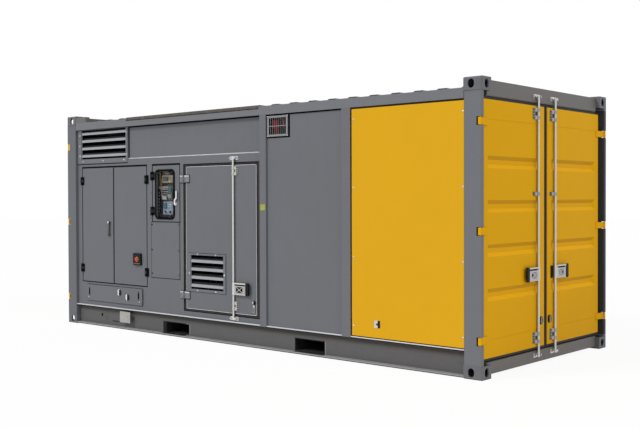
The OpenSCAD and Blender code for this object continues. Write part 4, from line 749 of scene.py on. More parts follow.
# %% Finishes for the CAD nodes
finishes = {
    cast_grey: ["corner_castings"],
    post_grey: ["corner_posts"],
    frame_grey: ["side_posts"],
    rail_grey: ["top_side_rails"],
    end_grey: ["end_rails"],
    roof_grey: ["roof"],
    louvre_grey: ["inlet_louvre", "side_door_louvre"],
    cover_grey: ["lower_covers"],
    wall_grey: ["side_panels", "wall_uprights"],
    infill_grey: ["wall_infills"],
    side_door_grey: ["side_door"],
    door_grey: ["left_cubicle_door", "right_cubicle_door", "control_door"],
    under_grey: ["underframe", "floor"],
    rail_dark: ["bottom_side_rails"],
    hatch_brown: ["roof_hatch"],
    canopy_yellow: ["yellow_side_panels"],
    end_yellow: ["far_end_doors", "left_end_door", "right_end_door"],
    grille_grey: ["vent_grille"],
    red_lens: ["beacon"],
    box_grey: ["control_box"],
    board_finish: ["control_panel"],
    black_metal: ["hinge_brackets"],
    zinc: ["side_locking_bar"],
    end_zinc: ["left_locking_bar", "right_locking_bar", "side_bar_guides"],
    guide_zinc: ["left_bar_guides", "right_bar_guides"],
    far_zinc: ["far_end_bars"],
    keeper_zinc: ["bar_keepers"],
    dark_rubber: ["door_seals"],
    rubber: ["left_end_seal", "right_end_seal"],
    olive_lever: ["cubicle_handle"],
    black_plastic: ["stop_box"],
    stop_red: ["stop_button"],
    glass: ["control_window"],
    chrome: ["control_handle"],
}
for finish, names in finishes.items():
    for name in names:
        slots = nodes[name].data.materials
        slots.clear()
        slots.append(finish)
finished = {name for names in finishes.values() for name in names}
print("nodes without a finish:", sorted(set(nodes) - finished))

# %% [markdown]
# Small fittings are modelled lying on a flat face, with Z pointing out of it, and then set on
# the container by one matrix per side. A fitting that repeats is modelled once and stamped
# into one mesh at all its places, so fifty bolts are one object.

# %% Faces of the container, and places on them
SIDE = Matrix(((1, 0, 0), (0, 0, -1), (0, 1, 0)))
END = Matrix(((0, 0, 1), (1, 0, 0), (0, 1, 0)))
FAR = Matrix(((0, 0, -1), (-1, 0, 0), (0, 1, 0)))
BACK = Matrix(((-1, 0, 0), (0, 0, 1), (0, 1, 0)))

def at(face, x, y, z, turned=0.0):
    spin_round = Matrix.Rotation(math.radians(turned), 4, "Z")
    return Matrix.Translation((x, y, z)) @ face.to_4x4() @ spin_round

def grid(xs, y, zs, face=SIDE):
    """A place at every x and every z of a face on a long side."""
    return [at(face, x, y, z) for x in xs for z in zs]

def inset(low, high, by):
    return (low + by, high - by)

def around(centre, by):
    return (centre - by, centre + by)

# %% Shapes for fittings
TURN_STEPS, RIVET_STEPS, FINE_STEPS = 20, 14, 28

def soften(shape, edges, radius, segments=2):
    bmesh.ops.bevel(shape, geom=edges, offset=radius, offset_type="OFFSET", segments=segments,
                    profile=0.5, affect="EDGES", material=-1, clamp_overlap=True)

def front_edges(shape, thick):
    return [e for e in shape.edges if min(v.co.z for v in e.verts) > thick * 0.9]

def slab(wide, tall, thick, corner=0.004, rim=0.001):
    """A plate on the face: rounded corners, then a softened front rim."""
    shape = bmesh.new()
    bmesh.ops.create_cube(shape, size=1.0)
    bmesh.ops.translate(shape, vec=(0, 0, 0.5), verts=shape.verts)
    bmesh.ops.scale(shape, vec=(wide, tall, thick), verts=shape.verts)
    if corner:
        upright = [e for e in shape.edges if abs(e.verts[0].co.z - e.verts[1].co.z) > thick / 2]
        soften(shape, upright, corner, 4)
    soften(shape, front_edges(shape, thick), rim)
    return shape

def frame_ring(wide, tall, corner, band, thick, rim=0.0012):
    """A rounded frame: a plane with bevelled corners, an inset ring, pushed out."""
    shape = bmesh.new()
    bmesh.ops.create_grid(shape, x_segments=1, y_segments=1, size=0.5)
    bmesh.ops.scale(shape, vec=(wide, tall, 1), verts=shape.verts)
    bmesh.ops.bevel(shape, geom=shape.verts[:], offset=corner, offset_type="OFFSET", segments=8,
                    profile=0.5, affect="VERTICES", material=-1, clamp_overlap=True)
    middle_face = shape.faces[:]
    bmesh.ops.inset_region(shape, faces=middle_face, thickness=band, use_boundary=True,
                           use_even_offset=True)
    bmesh.ops.delete(shape, geom=middle_face, context="FACES")
    pushed = bmesh.ops.extrude_face_region(shape, geom=shape.faces[:])["geom"]
    raised = [g for g in pushed if isinstance(g, bmesh.types.BMVert)]
    bmesh.ops.translate(shape, vec=(0, 0, thick), verts=raised)
    sharp = [e for e in front_edges(shape, thick) if len(e.link_faces) == 2 and e.calc_face_angle(0) > 0.8]
    soften(shape, sharp, rim)
    return shape

def turned(profile, steps=TURN_STEPS):
    """A turned part: its half outline (radius, height) spun about Z."""
    shape = bmesh.new()
    points = [shape.verts.new((r, 0, h)) for r, h in profile]
    edges = [shape.edges.new(pair) for pair in zip(points, points[1:])]
    bmesh.ops.spin(shape, geom=points + edges, cent=(0, 0, 0), axis=(0, 0, 1), angle=math.tau,
                   steps=steps, use_merge=True)
    bmesh.ops.remove_doubles(shape, verts=shape.verts, dist=1e-6)
    return shape

def turned_by(radius, profile):
    """A small turned head, its outline given as shares of its radius."""
    return turned([(radius * r, radius * h) for r, h in profile], RIVET_STEPS)

def hex_bolt(across):
    """Hexagon head on a washer."""
    shape = turned([(0, 0.0015), (across * 0.98, 0.0015), (across * 1.02, 0.0011), (across * 1.02, 0)])
    radius = across * 0.577
    head = bmesh.ops.create_cone(shape, cap_ends=True, segments=6, radius1=radius, radius2=radius,
                                 depth=across * 0.62,
                                 matrix=Matrix.Translation((0, 0, 0.001 + across * 0.31)))["verts"]
    top = [e for e in shape.edges
           if e.verts[0] in head and min(v.co.z for v in e.verts) > across * 0.5]
    soften(shape, top, across * 0.07, 1)
    return shape

def dome_rivet(radius):
    return turned_by(radius, [(1, 0), (0.97, 0.2), (0.72, 0.46), (0.3, 0.6), (0, 0.62)])

def socket_screw(radius):
    """Round head with a recess for the key."""
    return turned_by(radius, [(1, 0), (1, 0.5), (0.85, 0.66), (0.45, 0.66), (0.42, 0.25), (0, 0.25)])

def stamped(shape, places):
    """One bmesh with a copy of the shape at each place."""
    pattern = bpy.data.meshes.new("pattern")
    shape.to_mesh(pattern)
    shape.free()
    together = bmesh.new()
    for place in places:
        before = len(together.verts)
        together.from_mesh(pattern)
        bmesh.ops.transform(together, matrix=place, verts=together.verts[:][before:])
    bpy.data.meshes.remove(pattern)
    return together

# %% [markdown]
# `piece` makes an object of a shape, lets it ride on its body and gives it its finish as its
# material. `fit` does so for one shape that is stamped at its places.

def piece(name, shape, finish, body="container", smooth=False):
    bmesh.ops.recalc_face_normals(shape, faces=shape.faces)
    mesh = bpy.data.meshes.new(name)
    shape.to_mesh(mesh)
    shape.free()
    mesh.materials.append(finish)
    if smooth:
        mesh.shade_smooth()
    item = bpy.data.objects.new(name, mesh)
    bpy.context.scene.collection.objects.link(item)
    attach(item, body)
    print(name, "rides on", body, "faces", len(mesh.polygons))

def fit(name, shape, places, finish, body="container", smooth=False):
    """A piece that is one shape at one or more places."""
    piece(name, stamped(shape, places), finish, body, smooth)

# %% [markdown]
# The small hinges are black butterfly hinges: a plate on the wall, a plate on the leaf, and
# the knuckles between them, which CAD already has with their pin. Each plate here covers a
# knuckle's narrow CAD leaf, so the hinge shows at its full height, with two screws a side.

# %% Butterfly hinge plates
joints = frame["record"]["behaviour"]["joints"]
joint_at = {j["name"]: Vector(j["pos_m"]) for j in joints if "pos_m" in j}
KNUCKLE, PLATE_WIDE, PLATE_TALL, PLATE_THICK = 0.0115, 0.025, 0.098, 0.0058

def hinge_heights(pin):
    """Heights of the hinges on a pin, each the middle of its two fixed brackets."""
    zs = sorted(middle(*b).z for b in brackets if b[0].x < pin.x < b[1].x)
    return [(a + b) / 2 for a, b in zip(zs[::2], zs[1::2])]

for leaf, way in (("left_cubicle_door", 1), ("right_cubicle_door", -1), ("control_door", 1)):
    pin = joint_at[leaf + "_hinge"]
    heights = hinge_heights(pin)
    for body, where, side in (("container", "wall", -way), (leaf, "leaf", way)):
        x = pin.x + side * (KNUCKLE + PLATE_WIDE / 2)
        fit(f"{leaf}_hinge_plates_{where}", slab(PLATE_WIDE, PLATE_TALL, PLATE_THICK, 0.006),
            grid([x], wall_y, heights), black_metal, body)
        fit(f"{leaf}_hinge_screws_{where}", socket_screw(0.0055),
            grid([x + side * 0.002], wall_y - PLATE_THICK, [z + up for z in heights for up in (-0.03, 0.03)]),
            black_metal, body)
    print(leaf, "hinge heights", [round(h, 3) for h in heights])

# %% [markdown]
# The side door hangs on heavy strap hinges, painted a little lighter than the wall, with edges
# lightened partly for wear and partly as a painted highlight. A thin black ring round each plate
# is painted shadow, a light strip along its upper edge is a painted highlight, and hexagon bolts hold it.

# %% Strap hinges of the side door
pin = joint_at["side_door_hinge"]
strap_heights = hinge_heights(pin)
STRAP, STRAP_TALL, SHADOW_RING_BAND, SHADOW_RING_THICK = 0.012, 0.078, 0.010, 0.0015
for body, side, wide, bolt_columns in (("container", -1, 0.050, (0,)),
                                       ("side_door", 1, 0.080, (-0.022, 0.022))):
    x = pin.x + side * (KNUCKLE + wide / 2)
    fit("strap_plates_" + body, slab(wide, STRAP_TALL, STRAP, 0.004, 0.0025),
        grid([x], wall_y, strap_heights), strap_paint, body)
    # Painted shadow: a thin black ring round each plate.
    fit("strap_shadow_rings_" + body, frame_ring(wide + 0.012, STRAP_TALL + 0.016, 0.006, SHADOW_RING_BAND, SHADOW_RING_THICK, 0.0004),
        grid([x], wall_y, [z - 0.002 for z in strap_heights]), trim_and_shade_black, body)
    # Painted highlight: a light strip along each plate's upper edge.
    fit("strap_highlights_" + body, slab(wide - 0.004, 0.012, 0.0008, 0.0),
        grid([x], wall_y - STRAP, [z + 0.031 for z in strap_heights]), highlight_paint, body)
    bolts = [at(SIDE, x + side * 0.004 + dx, wall_y - STRAP, z - 0.008 + up)
             for z in strap_heights for dx in bolt_columns for up in (-0.016, 0.016)]
    fit("strap_bolts_" + body, hex_bolt(0.010), bolts, strap_paint, body)

# %% [markdown]
# Black lines of painted shade and painted shadow run round everything that is let into the wall.
# `edge_line` makes one as a flat frame round a box, and `strip` makes a straight one.

# %% Helpers for flat lines on the wall
LINE_RIM, STRIP_RIM, TRIM = 0.0004, 0.0003, 0.0012

def edge_line(name, low, high, grow, width, thick, finish=trim_and_shade_black,
              body="container", corner=0.004):
    """A flat frame on the control side round the box low..high, grown outward."""
    wide, tall = high.x - low.x + 2 * grow, high.z - low.z + 2 * grow
    mid = middle(low, high)
    fit(name, frame_ring(wide, tall, corner, width, thick, LINE_RIM), [at(SIDE, mid.x, wall_y, mid.z)],
        finish, body)

def strip(name, wide, tall, x, y, z, thick=TRIM, rim=STRIP_RIM, body="container"):
    """A straight black line with its middle at x, z."""
    fit(name, slab(wide, tall, thick, 0.0, rim), [at(SIDE, x, y, z)], trim_and_shade_black, body)

# %% [markdown]
# The service plate and the cable cover are screwed on, with black lines of painted shade round
# them and round the cover's slots. Their screws are dark against the paint, and the cover has one bright
# screw under each of its slots.

# %% Screws of the covers and the control door
COVER_FACE = wall_y - 0.016
# Painted shade lines round the plate, the cover and its slots.
edge_line("service_plate_edge", *plate, 0.007, 0.007, SHADOW_RING_THICK)
edge_line("cable_cover_edge", *cover, 0.005, 0.005, SHADOW_RING_THICK, corner=0.01)
rows = (plate[0].z + 0.045, (plate[0].z + plate[1].z) / 2, plate[1].z - 0.028)
fit("service_plate_screws", socket_screw(0.0085),
    grid((plate[0].x + 0.011, plate[1].x - 0.014), plate[0].y, rows), black_metal)
fit("cover_slot_rims", frame_ring(0.027, 0.101, 0.0134, 0.0034, 0.0006, 0.0002),
    grid(slot_x, COVER_FACE, [SLOT_Z]), trim_and_shade_black)
fit("cover_screws", dome_rivet(0.009),
    grid(inset(cover[0].x, cover[1].x, 0.046), COVER_FACE, [cover[0].z + 0.040]), steel)
fit("cover_corner_screws", dome_rivet(0.006),
    grid(inset(cover[0].x, cover[1].x, 0.02), COVER_FACE, inset(cover[0].z, cover[1].z, 0.018)),
    cover_grey)
fit("control_side_plugs", dome_rivet(0.006),
    grid([joint_at["control_door_hinge"].x - 0.026], wall_y, (1.622, 1.335)), black_metal)

# %% [markdown]
# The louvre frames and the grille are riveted or bolted along their rims.

# %% Fixings of the louvres and the grille
LOUVRE_FACE = wall_y - 0.006
low, high = door_louvre
places = grid((low.x + 0.15, high.x - 0.155), LOUVRE_FACE, (low.z + 0.013, high.z - 0.009))
places += grid(inset(low.x, high.x, 0.016), LOUVRE_FACE, [low.z + 0.2])
fit("door_louvre_bolts", hex_bolt(0.010), places, steel, "side_door")
places = grid([-2.7945], LOUVRE_FACE, (2.086, 2.214, 2.340))
places += grid((-2.727, -2.319, -1.905), LOUVRE_FACE, [2.022])
places += grid([inlet[1].x - 0.016], LOUVRE_FACE, (2.089, 2.349))
fit("inlet_louvre_bolts", hex_bolt(0.010), places, steel)
low, high = grille
fit("grille_screws", dome_rivet(0.006),
    grid(inset(low.x, high.x, 0.013), low.y, inset(low.z, high.z, 0.013)), steel)

# %% [markdown]
# The yellow side panels are held by rivets down their edges, on both long sides.

# %% Rivets of the yellow panels
RIVET_HEIGHTS = (2.300, 1.653, 1.003, 0.353)
panel_y = sheet_low.y
sheet_xs = [v.co.x for v in nodes["yellow_side_panels"].data.vertices if v.co.y < panel_y + 0.001]
rivet_columns = (min(sheet_xs) + 0.025, max(sheet_xs) - 0.009)
places = grid(rivet_columns, panel_y, RIVET_HEIGHTS)
places += grid(rivet_columns, -panel_y, RIVET_HEIGHTS, BACK)
fit("yellow_panel_rivets", dome_rivet(0.0085), places, steel, smooth=True)
print("rivet columns", rivet_columns)

# %% [markdown]
# Locking bars run in guides with a column of bolts beside the bar, and in keepers riveted to
# the frame. The bolts are found from each guide's box: they stand on its longer side.

# %% Bolts of the guides
GUIDE, BOLT_IN = 0.005, 0.013
guide_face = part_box("right_bar_guides")[0][0] + GUIDE

def bolt_heights(low, high, count):
    return [low.z + (high.z - low.z) * (i + 0.5) / count for i in range(count)]

def guide_bolts(box, bar, face):
    """Bolt places on an end guide's plate, beside its bar."""
    low, high = box
    outer = low.y + BOLT_IN if bar - low.y > high.y - bar else high.y - BOLT_IN
    count = 4 if high.z - low.z > 0.07 else 2
    x = guide_face if face is END else -guide_face
    return [at(face, x, outer, z) for z in bolt_heights(low, high, count)]

def far_guide(low, high, bar):
    """Whether a solid of the far end is a guide on that bar, and not a rod, cam or lever."""
    small = high.z - low.z < 0.4 and high.x - low.x < 0.06
    return low.y < bar < high.y and small and low.z > 0.3 and high.z < 2.3

for side in ("left", "right"):
    bar = joint_at[side + "_bar_turn"].y
    places = [p for b in solids(side + "_bar_guides") if b[0].y < bar < b[1].y
              for p in guide_bolts(b, bar, END)]
    fit(side + "_guide_bolts", hex_bolt(0.011), places, dark_steel, side + "_end_door")
bar = joint_at["right_bar_turn"].y
places = [p for b in solids("far_end_bars") for y in (bar, -bar) if far_guide(*b, y)
          for p in guide_bolts(b, y, FAR)]
fit("far_guide_bolts", hex_bolt(0.010), places, steel)
bar = joint_at["side_bar_turn"].x
places = [p for low, high in solids("side_bar_guides") if low.x < bar < high.x
          for p in grid([high.x - BOLT_IN], wall_y - GUIDE, bolt_heights(low, high, 4))]
fit("side_guide_bolts", hex_bolt(0.011), places, dark_steel, "side_door")

# %% Rivets of the keepers
KEEPER_TALL, KEEPER_FLANGE, RIVET_OUT, RIVET_UP = 0.045, 0.004, 0.045, 0.011
places = []
for low, high in keepers:
    mid = middle(low, high)
    if high.z - low.z < KEEPER_TALL and low.x > 2.9:
        places += [at(END, low.x + KEEPER_FLANGE, y, z)
                   for y in around(mid.y, RIVET_OUT) for z in around(mid.z, RIVET_UP)]
    elif high.z - low.z < KEEPER_TALL and low.y < -1.1:
        places += grid(around(mid.x, RIVET_OUT), high.y - KEEPER_FLANGE, around(mid.z, RIVET_UP))
fit("keeper_rivets", dome_rivet(0.0045), places, steel, smooth=True)

# %% [markdown]
# A black line of painted shade runs round the rims of the door openings, round each leaf, and
# down the seam between the cubicle leaves. It lies flat on the wall and ends a millimetre before
# the leaf. Under the head of an opening it is wider, as painted shadow, and the inlet louvre above
# sits on painted shadow lines of the same kind.

# %% Painted shade lines of the doors and the inlet
GAP, PIN_GAP, TRIM_GROW, TRIM_WIDE, LEDGE_Y = 0.007, 0.0035, 0.005, 0.011, -1.168
leaf_low, leaf_high = node_box("left_cubicle_door")
control_leaf = node_box("control_door")
cubicle_opening = (Vector((joint_at["left_cubicle_door_hinge"].x - PIN_GAP, 0, leaf_low.z - GAP)),
                   Vector((joint_at["right_cubicle_door_hinge"].x + PIN_GAP, 0, leaf_high.z + 2 * GAP)))
control_opening = (Vector((joint_at["control_door_hinge"].x - PIN_GAP, 0, control_leaf[0].z - GAP)),
                   Vector((control_leaf[1].x + GAP, 0, control_leaf[1].z + 2 * GAP)))
edge_line("cubicle_shade_line", *cubicle_opening, TRIM_GROW, TRIM_WIDE, TRIM)
for name, (low, high) in (("cubicle", cubicle_opening), ("control", control_opening)):
    strip(name + "_head_strip", high.x - low.x + 0.006, 0.019, (low.x + high.x) / 2, wall_y,
          high.z - 0.003, 0.0014)
strip("inlet_sill_line", 1.015, 0.009, (inlet[0].x + inlet[1].x) / 2, wall_y, inlet[0].z - 0.0045)
strip("inlet_side_line", 0.016, 0.36, inlet[1].x + 0.009, LEDGE_Y, 2.222)
edge_line("control_shade_line", *control_opening, TRIM_GROW, TRIM_WIDE, TRIM)
for leaf, x in (("left_cubicle_door", leaf_high.x - 0.003),
                ("right_cubicle_door", leaf_high.x + GAP + 0.003)):
    strip(leaf + "_strip", 0.006, leaf_high.z - leaf_low.z - 0.006, x, wall_y,
          (leaf_low.z + leaf_high.z) / 2, body=leaf)

# %% [markdown]
# A light ring round the side door's leaf is a painted highlight on its edge, beside a black
# line of painted shade round its soft seal and one round its louvre. Lines of painted shadow run under the
# top rail.

# %% Side door lines and painted shadow under the rail
SHADOW_LINE_TALL, SHADOW_LINE_THICK, UNDER_RAIL = 0.013, 0.0018, 2.411
seal_low, seal_high = span("door_seals", lambda v: v.y < -1.17)
seal_low.x = joint_at["side_door_hinge"].x - 0.012
edge_line("side_door_edge", seal_low, seal_high, 0.002, 0.007, TRIM)
highlight_low, highlight_high = span("side_door", lambda v: abs(v.y - wall_y) < 0.0005)
highlight_low.x = seal_low.x + 0.044
edge_line("side_door_highlight", highlight_low, highlight_high, 0.0, 0.005, 0.0015, highlight_paint, "side_door")
edge_line("side_louvre_edge", *door_louvre, 0.005, 0.005, 0.001, body="side_door")
for name, x0, x1, y in (("upper_rail_shadow", -1.841, 0.385, LEDGE_Y), ("bay_rail_shadow", 0.475, 1.483, -1.195)):
    strip(name, x1 - x0, SHADOW_LINE_TALL, (x0 + x1) / 2, y, UNDER_RAIL - SHADOW_LINE_TALL / 2, SHADOW_LINE_THICK, LINE_RIM)

# %% [markdown]
# The vent grille sits in a black line of painted shadow, has a thin black ring of painted shade
# on its face, and each punched slot has a dark lip of painted shade round it.

# %% Lines of the vent grille
GRILLE_RIM, SLOTS, ROWS, ROW, BAR = 0.032, 9, 2, 0.076, 0.012
low, high = grille
wide, tall, mid = high.x - low.x, high.z - low.z, middle(low, high)
fit("grille_edge", frame_ring(wide + 0.030, tall + 0.013, 0.006, 0.016, 0.0015, LINE_RIM),
    [at(SIDE, mid.x, low.y + 0.008, mid.z)], trim_and_shade_black)
fit("grille_face_shade", frame_ring(wide, tall, 0.005, 0.009, 0.0004, 0.0001),
    [at(SIDE, mid.x, low.y, mid.z)], trim_and_shade_black)
pitch = (wide - 2 * GRILLE_RIM) / SLOTS
slot_xs = [low.x + GRILLE_RIM + (i + 0.5) * pitch for i in range(SLOTS)]
slot_zs = [low.z + GRILLE_RIM + ROW / 2 + j * (ROW + BAR) for j in range(ROWS)]
fit("grille_slot_rims", frame_ring(pitch * 0.58 + 0.007, ROW + 0.005, 0.003, 0.0042, 0.0004, 0.0001),
    grid(slot_xs, low.y, slot_zs), trim_and_shade_black)

# %% [markdown]
# The locking levers are castings with crossed ribs and open windows. A black sheet behind the
# windows is painted shade: it makes them dark, so the rails and ribs stand out bright.

# %% Backing of the lever plates
BACKING, BACKING_LONG, BACKING_OUT = 0.0008, 0.142, 0.0012
for name, (grip, out, along, way) in zip(("left", "right", "side"), levers):
    mid = middle(*grip)
    if out == X:
        edge = (grip[1] if way > 0 else grip[0]).y
        place = at(END, grip[0].x + BACKING_OUT, edge + way * 0.072, mid.z + 0.001)
    else:
        place = at(SIDE, grip[0].x - 0.072, grip[1].y - BACKING_OUT, mid.z + 0.001)
    fit(name + "_lever_shade_backing", slab(BACKING_LONG, grip[1].z - grip[0].z - 0.014, BACKING, 0.002, 0.0002),
        [place], trim_and_shade_black, name + "_locking_bar")

# %% [markdown]
# The warning lamp's lens reaches into the upper row of slots, and a small reflector sits at
# the right.

# %% Lamp lens and reflector
lamp_mid = middle(*node_box("beacon"))
lens = turned([(0, 0.084), (0.012, 0.0825), (0.024, 0.076), (0.032, 0.062), (0.034, 0.046), (0.034, 0.0),
               (0, 0.0)], FINE_STEPS)
fit("lamp_lens", lens, [Matrix.Translation((lamp_mid.x - 0.021, lamp_mid.y + 0.012, 2.272))],
    red_lens, smooth=True)
fit("lamp_reflector", turned([(0, 0.006), (0.012, 0.005), (0.016, 0.0), (0, 0)]),
    grid([0.683], -1.160, [2.290 + 0.024 * i for i in range(3)]), red_lens, smooth=True)

# %% [markdown]
# The control window is set in a black rubber section that grips the sheet. It shows as a
# rounded black frame outside.

# %% Window gasket
low, high = node_box("control_window")
mid = middle(low, high)
gasket = frame_ring(high.x - low.x + 0.036, high.z - low.z + 0.026, 0.056, 0.023, 0.006)
fit("window_gasket", gasket, [at(SIDE, mid.x - 0.004, wall_y, mid.z)], trim_and_shade_black,
    "control_door")

# %% [markdown]
# Behind the glass stands the instrument board. Its units are CAD boxes; here they get their
# faces: a dark display with keys, breaker toggles, a socket's cover, a meter's window, knobs
# with pointers, and the brown and grey looms that run down beside them.

# %% Faces of the instruments
bright_plastic = moulded("pale plastic", rgb(0.62, 0.61, 0.58), 0.4)
screen_glass = moulded("display", rgb(0.03, 0.04, 0.035), 0.2, relief=0.00001, bloom=0.05, coat=0.5)
teal_face = moulded("teal meter face", rgb(0.05, 0.13, 0.15), 0.3, bloom=0.1)
tan_cable = moulded("tan cable", rgb(0.20, 0.10, 0.045), 0.55, bloom=0.3)
pale_cable = moulded("pale cable", rgb(0.36, 0.34, 0.31), 0.5)
key_grey = moulded("key grey", rgb(0.22, 0.21, 0.20), 0.5)
BREAKERS = 7

def on_unit(box, acrosses, ups, out=0.0):
    """Places on an instrument's face, as fractions of its width and height."""
    low, high = box
    return grid([low.x + (high.x - low.x) * a for a in acrosses], low.y - out,
                [low.z + (high.z - low.z) * u for u in ups])

fit("controller_display", slab(0.082, 0.052, 0.004, 0.003), on_unit(controller, [0.36], [0.52]),
    screen_glass)
fit("controller_keys", slab(0.010, 0.009, 0.004, 0.002),
    on_unit(controller, [0.70 + 0.085 * i for i in range(3)], [0.3 + 0.2 * j for j in range(3)]),
    key_grey)
fit("breaker_bodies", slab(0.050, 0.028, 0.006, 0.002),
    on_unit(breakers, [0.5], [(i + 0.5) / BREAKERS for i in range(BREAKERS)]), black_plastic)
fit("breaker_toggles", slab(0.010, 0.012, 0.010, 0.002),
    on_unit(breakers, [0.62], [(i + 0.55) / BREAKERS for i in range(BREAKERS)], 0.006), key_grey)
fit("socket_cover", frame_ring(0.058, 0.040, 0.005, 0.008, 0.004), on_unit(socket_box, [0.5], [0.5]),
    bright_plastic)
fit("meter_window", slab(0.050, 0.060, 0.003, 0.003), on_unit(meter, [0.5], [0.68]), teal_face)
fit("meter_keys", slab(0.012, 0.010, 0.004, 0.002), on_unit(meter, (0.25, 0.5, 0.75), (0.2, 0.34)),
    bright_plastic)
fit("starter_display", slab(0.060, 0.072, 0.003, 0.003), on_unit(starter, [0.27], [0.68]), teal_face)
fit("starter_lamps", dome_rivet(0.006), on_unit(starter, (0.62, 0.74, 0.86), (0.78, 0.62)),
    bright_plastic, smooth=True)
pointers = [at(SIDE, middle(*k).x, k[0].y, middle(*k).z, turn) for k, turn in zip(knobs, (35, -30))]
fit("knob_pointers", slab(0.004, 0.020, 0.002, 0.0015), pointers, bright_plastic)

# %% [markdown]
# A loom is a few insulated wires side by side. Each wire is a smooth curve with a round
# section, made into a mesh at once. They are tied to the board, so none of them hangs free.

# %% Cable looms
def cable_run(points, radius):
    """A round cable through points on the board, given as (x, z, out) in millimetres."""
    curve = bpy.data.curves.new("run", "CURVE")
    curve.dimensions, curve.bevel_depth, curve.bevel_resolution, curve.resolution_u = "3D", radius, 3, 10
    spline = curve.splines.new("BEZIER")
    spline.bezier_points.add(len(points) - 1)
    for knot, (x, z, out) in zip(spline.bezier_points, points):
        knot.co = (board[0].x + x * 0.001, board_face - out * 0.001, board[0].z + z * 0.001)
        knot.handle_left_type = knot.handle_right_type = "AUTO"
    holder = bpy.data.objects.new("run", curve)
    mesh = bpy.data.meshes.new_from_object(holder)
    bpy.data.objects.remove(holder)
    bpy.data.curves.remove(curve)
    return mesh

def loom(name, runs, finish):
    """One piece from several runs, each (points, radius)."""
    together = bmesh.new()
    for points, radius in runs:
        mesh = cable_run(points, radius)
        together.from_mesh(mesh)
        bpy.data.meshes.remove(mesh)
    piece(name, together, finish, smooth=True)

down = [([(70 + k * 11, 628 - k * 4, 14), (66 + k * 6, 560, 20 + 4 * k), (62 + k * 8, 500, 16 + 6 * k),
          (68 + k * 9, 440, 18), (60 + k * 10, 405, 14)], 0.0065) for k in range(3)]
loom("tan_loom", down, tan_cable)
over = [([(110 + k * 24, 634, 12), (118 + k * 22, 600, 24), (150 + k * 26, 560 + 6 * k, 30),
          (190 + k * 22, 545, 22)], 0.005) for k in range(3)]
across = [([(78, 376 - k * 22, 18), (120, 368 - k * 24, 26), (170, 372 - k * 26, 24),
            (204, 366 - k * 24, 22)], 0.0045) for k in range(4)]
loom("pale_looms", over + across, pale_cable)

# %% [markdown]
# The stop button is a red mushroom on a black box: a turned dome over the CAD head, and a
# yellow disc on the box behind it. The cubicle's lever hangs from a bright pivot.

# %% Stop button and lever pivot
button = node_box("stop_button")
box = node_box("stop_box")
centre, box_mid = middle(*button), middle(*box)
dome = turned([(0.0, 0.0003), (0.012, 0.0002), (0.0195, -0.0012), (0.0224, -0.003), (0.0226, -0.005),
               (0.0, -0.005)], FINE_STEPS)
fit("stop_dome", dome, [at(SIDE, centre.x, button[0].y, centre.z)], stop_red,
    "stop_button", smooth=True)
stop_yellow = moulded("stop yellow", rgb(0.62, 0.42, 0.02), 0.4)
disc = turned([(0.0236, 0.0), (0.0236, 0.0015), (0.0285, 0.0015), (0.029, 0.001), (0.029, 0.0)], FINE_STEPS)
fit("stop_yellow_disc", disc, [at(SIDE, centre.x, box[0].y, centre.z)], stop_yellow,
    "right_cubicle_door")
fit("stop_box_strip", slab(0.118, 0.012, 0.0015, 0.001), [at(SIDE, box_mid.x, box[0].y, box[0].z + 0.019)],
    rivet_metal, "right_cubicle_door")
fit("stop_box_screws", socket_screw(0.004),
    grid(around(box_mid.x, 0.058), box[0].y, around(box_mid.z, 0.058)),
    black_plastic, "right_cubicle_door")
lever_x = middle(*node_box("cubicle_handle")).x
boss = turned([(0, 0.006), (0.008, 0.0055), (0.0115, 0.003), (0.012, 0)])
fit("lever_boss", boss, [at(SIDE, lever_x, wall_y - 0.023, joint_at["cubicle_handle_lift"].z + 0.001)],
    chrome, "cubicle_handle", smooth=True)

# %% [markdown]
# The last small things are flat: a bare data plate riveted to the bottom rail with a drain
# hole's plug beside it, and two plain reflective stickers on the posts. They carry no words.

# %% Plates and stickers
bare_plate = bright_metal("bare plate", rgb(0.42, 0.41, 0.385), 0.5, cells=60.0, bloom=0.3)
sticker_green = moulded("reflective green", rgb(0.34, 0.36, 0.05), 0.35, texture=900.0)
sticker_yellow = moulded("reflective yellow", rgb(0.70, 0.48, 0.02), 0.35, texture=900.0)
PLATE_X, PLATE_Z, FOIL = -1.872, 0.152, 0.0004
rail_y = rail_low.y
fit("data_plate", slab(0.196, 0.130, 0.0015, 0.004, 0.0005), [at(SIDE, PLATE_X, rail_y, PLATE_Z)],
    bare_plate)
fit("data_plate_rivets", dome_rivet(0.004),
    grid(around(PLATE_X, 0.09), rail_y - 0.0015, around(PLATE_Z, 0.057)), steel, smooth=True)
fit("rail_plug", turned([(0, 0.0025), (0.015, 0.0024), (0.0185, 0.0015), (0.019, 0)]),
    [at(SIDE, -2.317, rail_y, PLATE_Z)], black_metal)
fit("green_sticker", slab(0.070, 0.060, FOIL, 0.002, 0.0001),
    [at(SIDE, 0.430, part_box("side_posts")[0][1], 1.466)], sticker_green)
corner_y = min(v.co.y for v in nodes["corner_posts"].data.vertices if v.co.x < -3.0)
fit("yellow_sticker", slab(0.040, 0.075, FOIL, 0.002, 0.0001), [at(SIDE, -3.0, corner_y, 2.207)],
    sticker_yellow)

# %% [markdown]
# The studio: a pale floor, a white surround that only the camera, mirrors and glass see, one
# broad key from the control side and above, and a soft fill from the end. The Light Path node
# tells those rays from the ones that light the object. At this level a colour renders about as
# it is written.

# %% Floor and world
FLOOR_WHITE, FLOOR_SHOWN, SOFT_FILL = 0.93, 0.93, 0.50
scene = bpy.context.scene
scene.view_settings.view_transform = "Standard"

def looked_at(t):
    """1 for rays from the camera, from mirrors and through glass."""
    path = put(t, "LightPath").outputs
    return maths(t, "MAXIMUM", path["Is Camera Ray"],
                 maths(t, "MAXIMUM", path["Is Glossy Ray"], path["Is Transmission Ray"]))

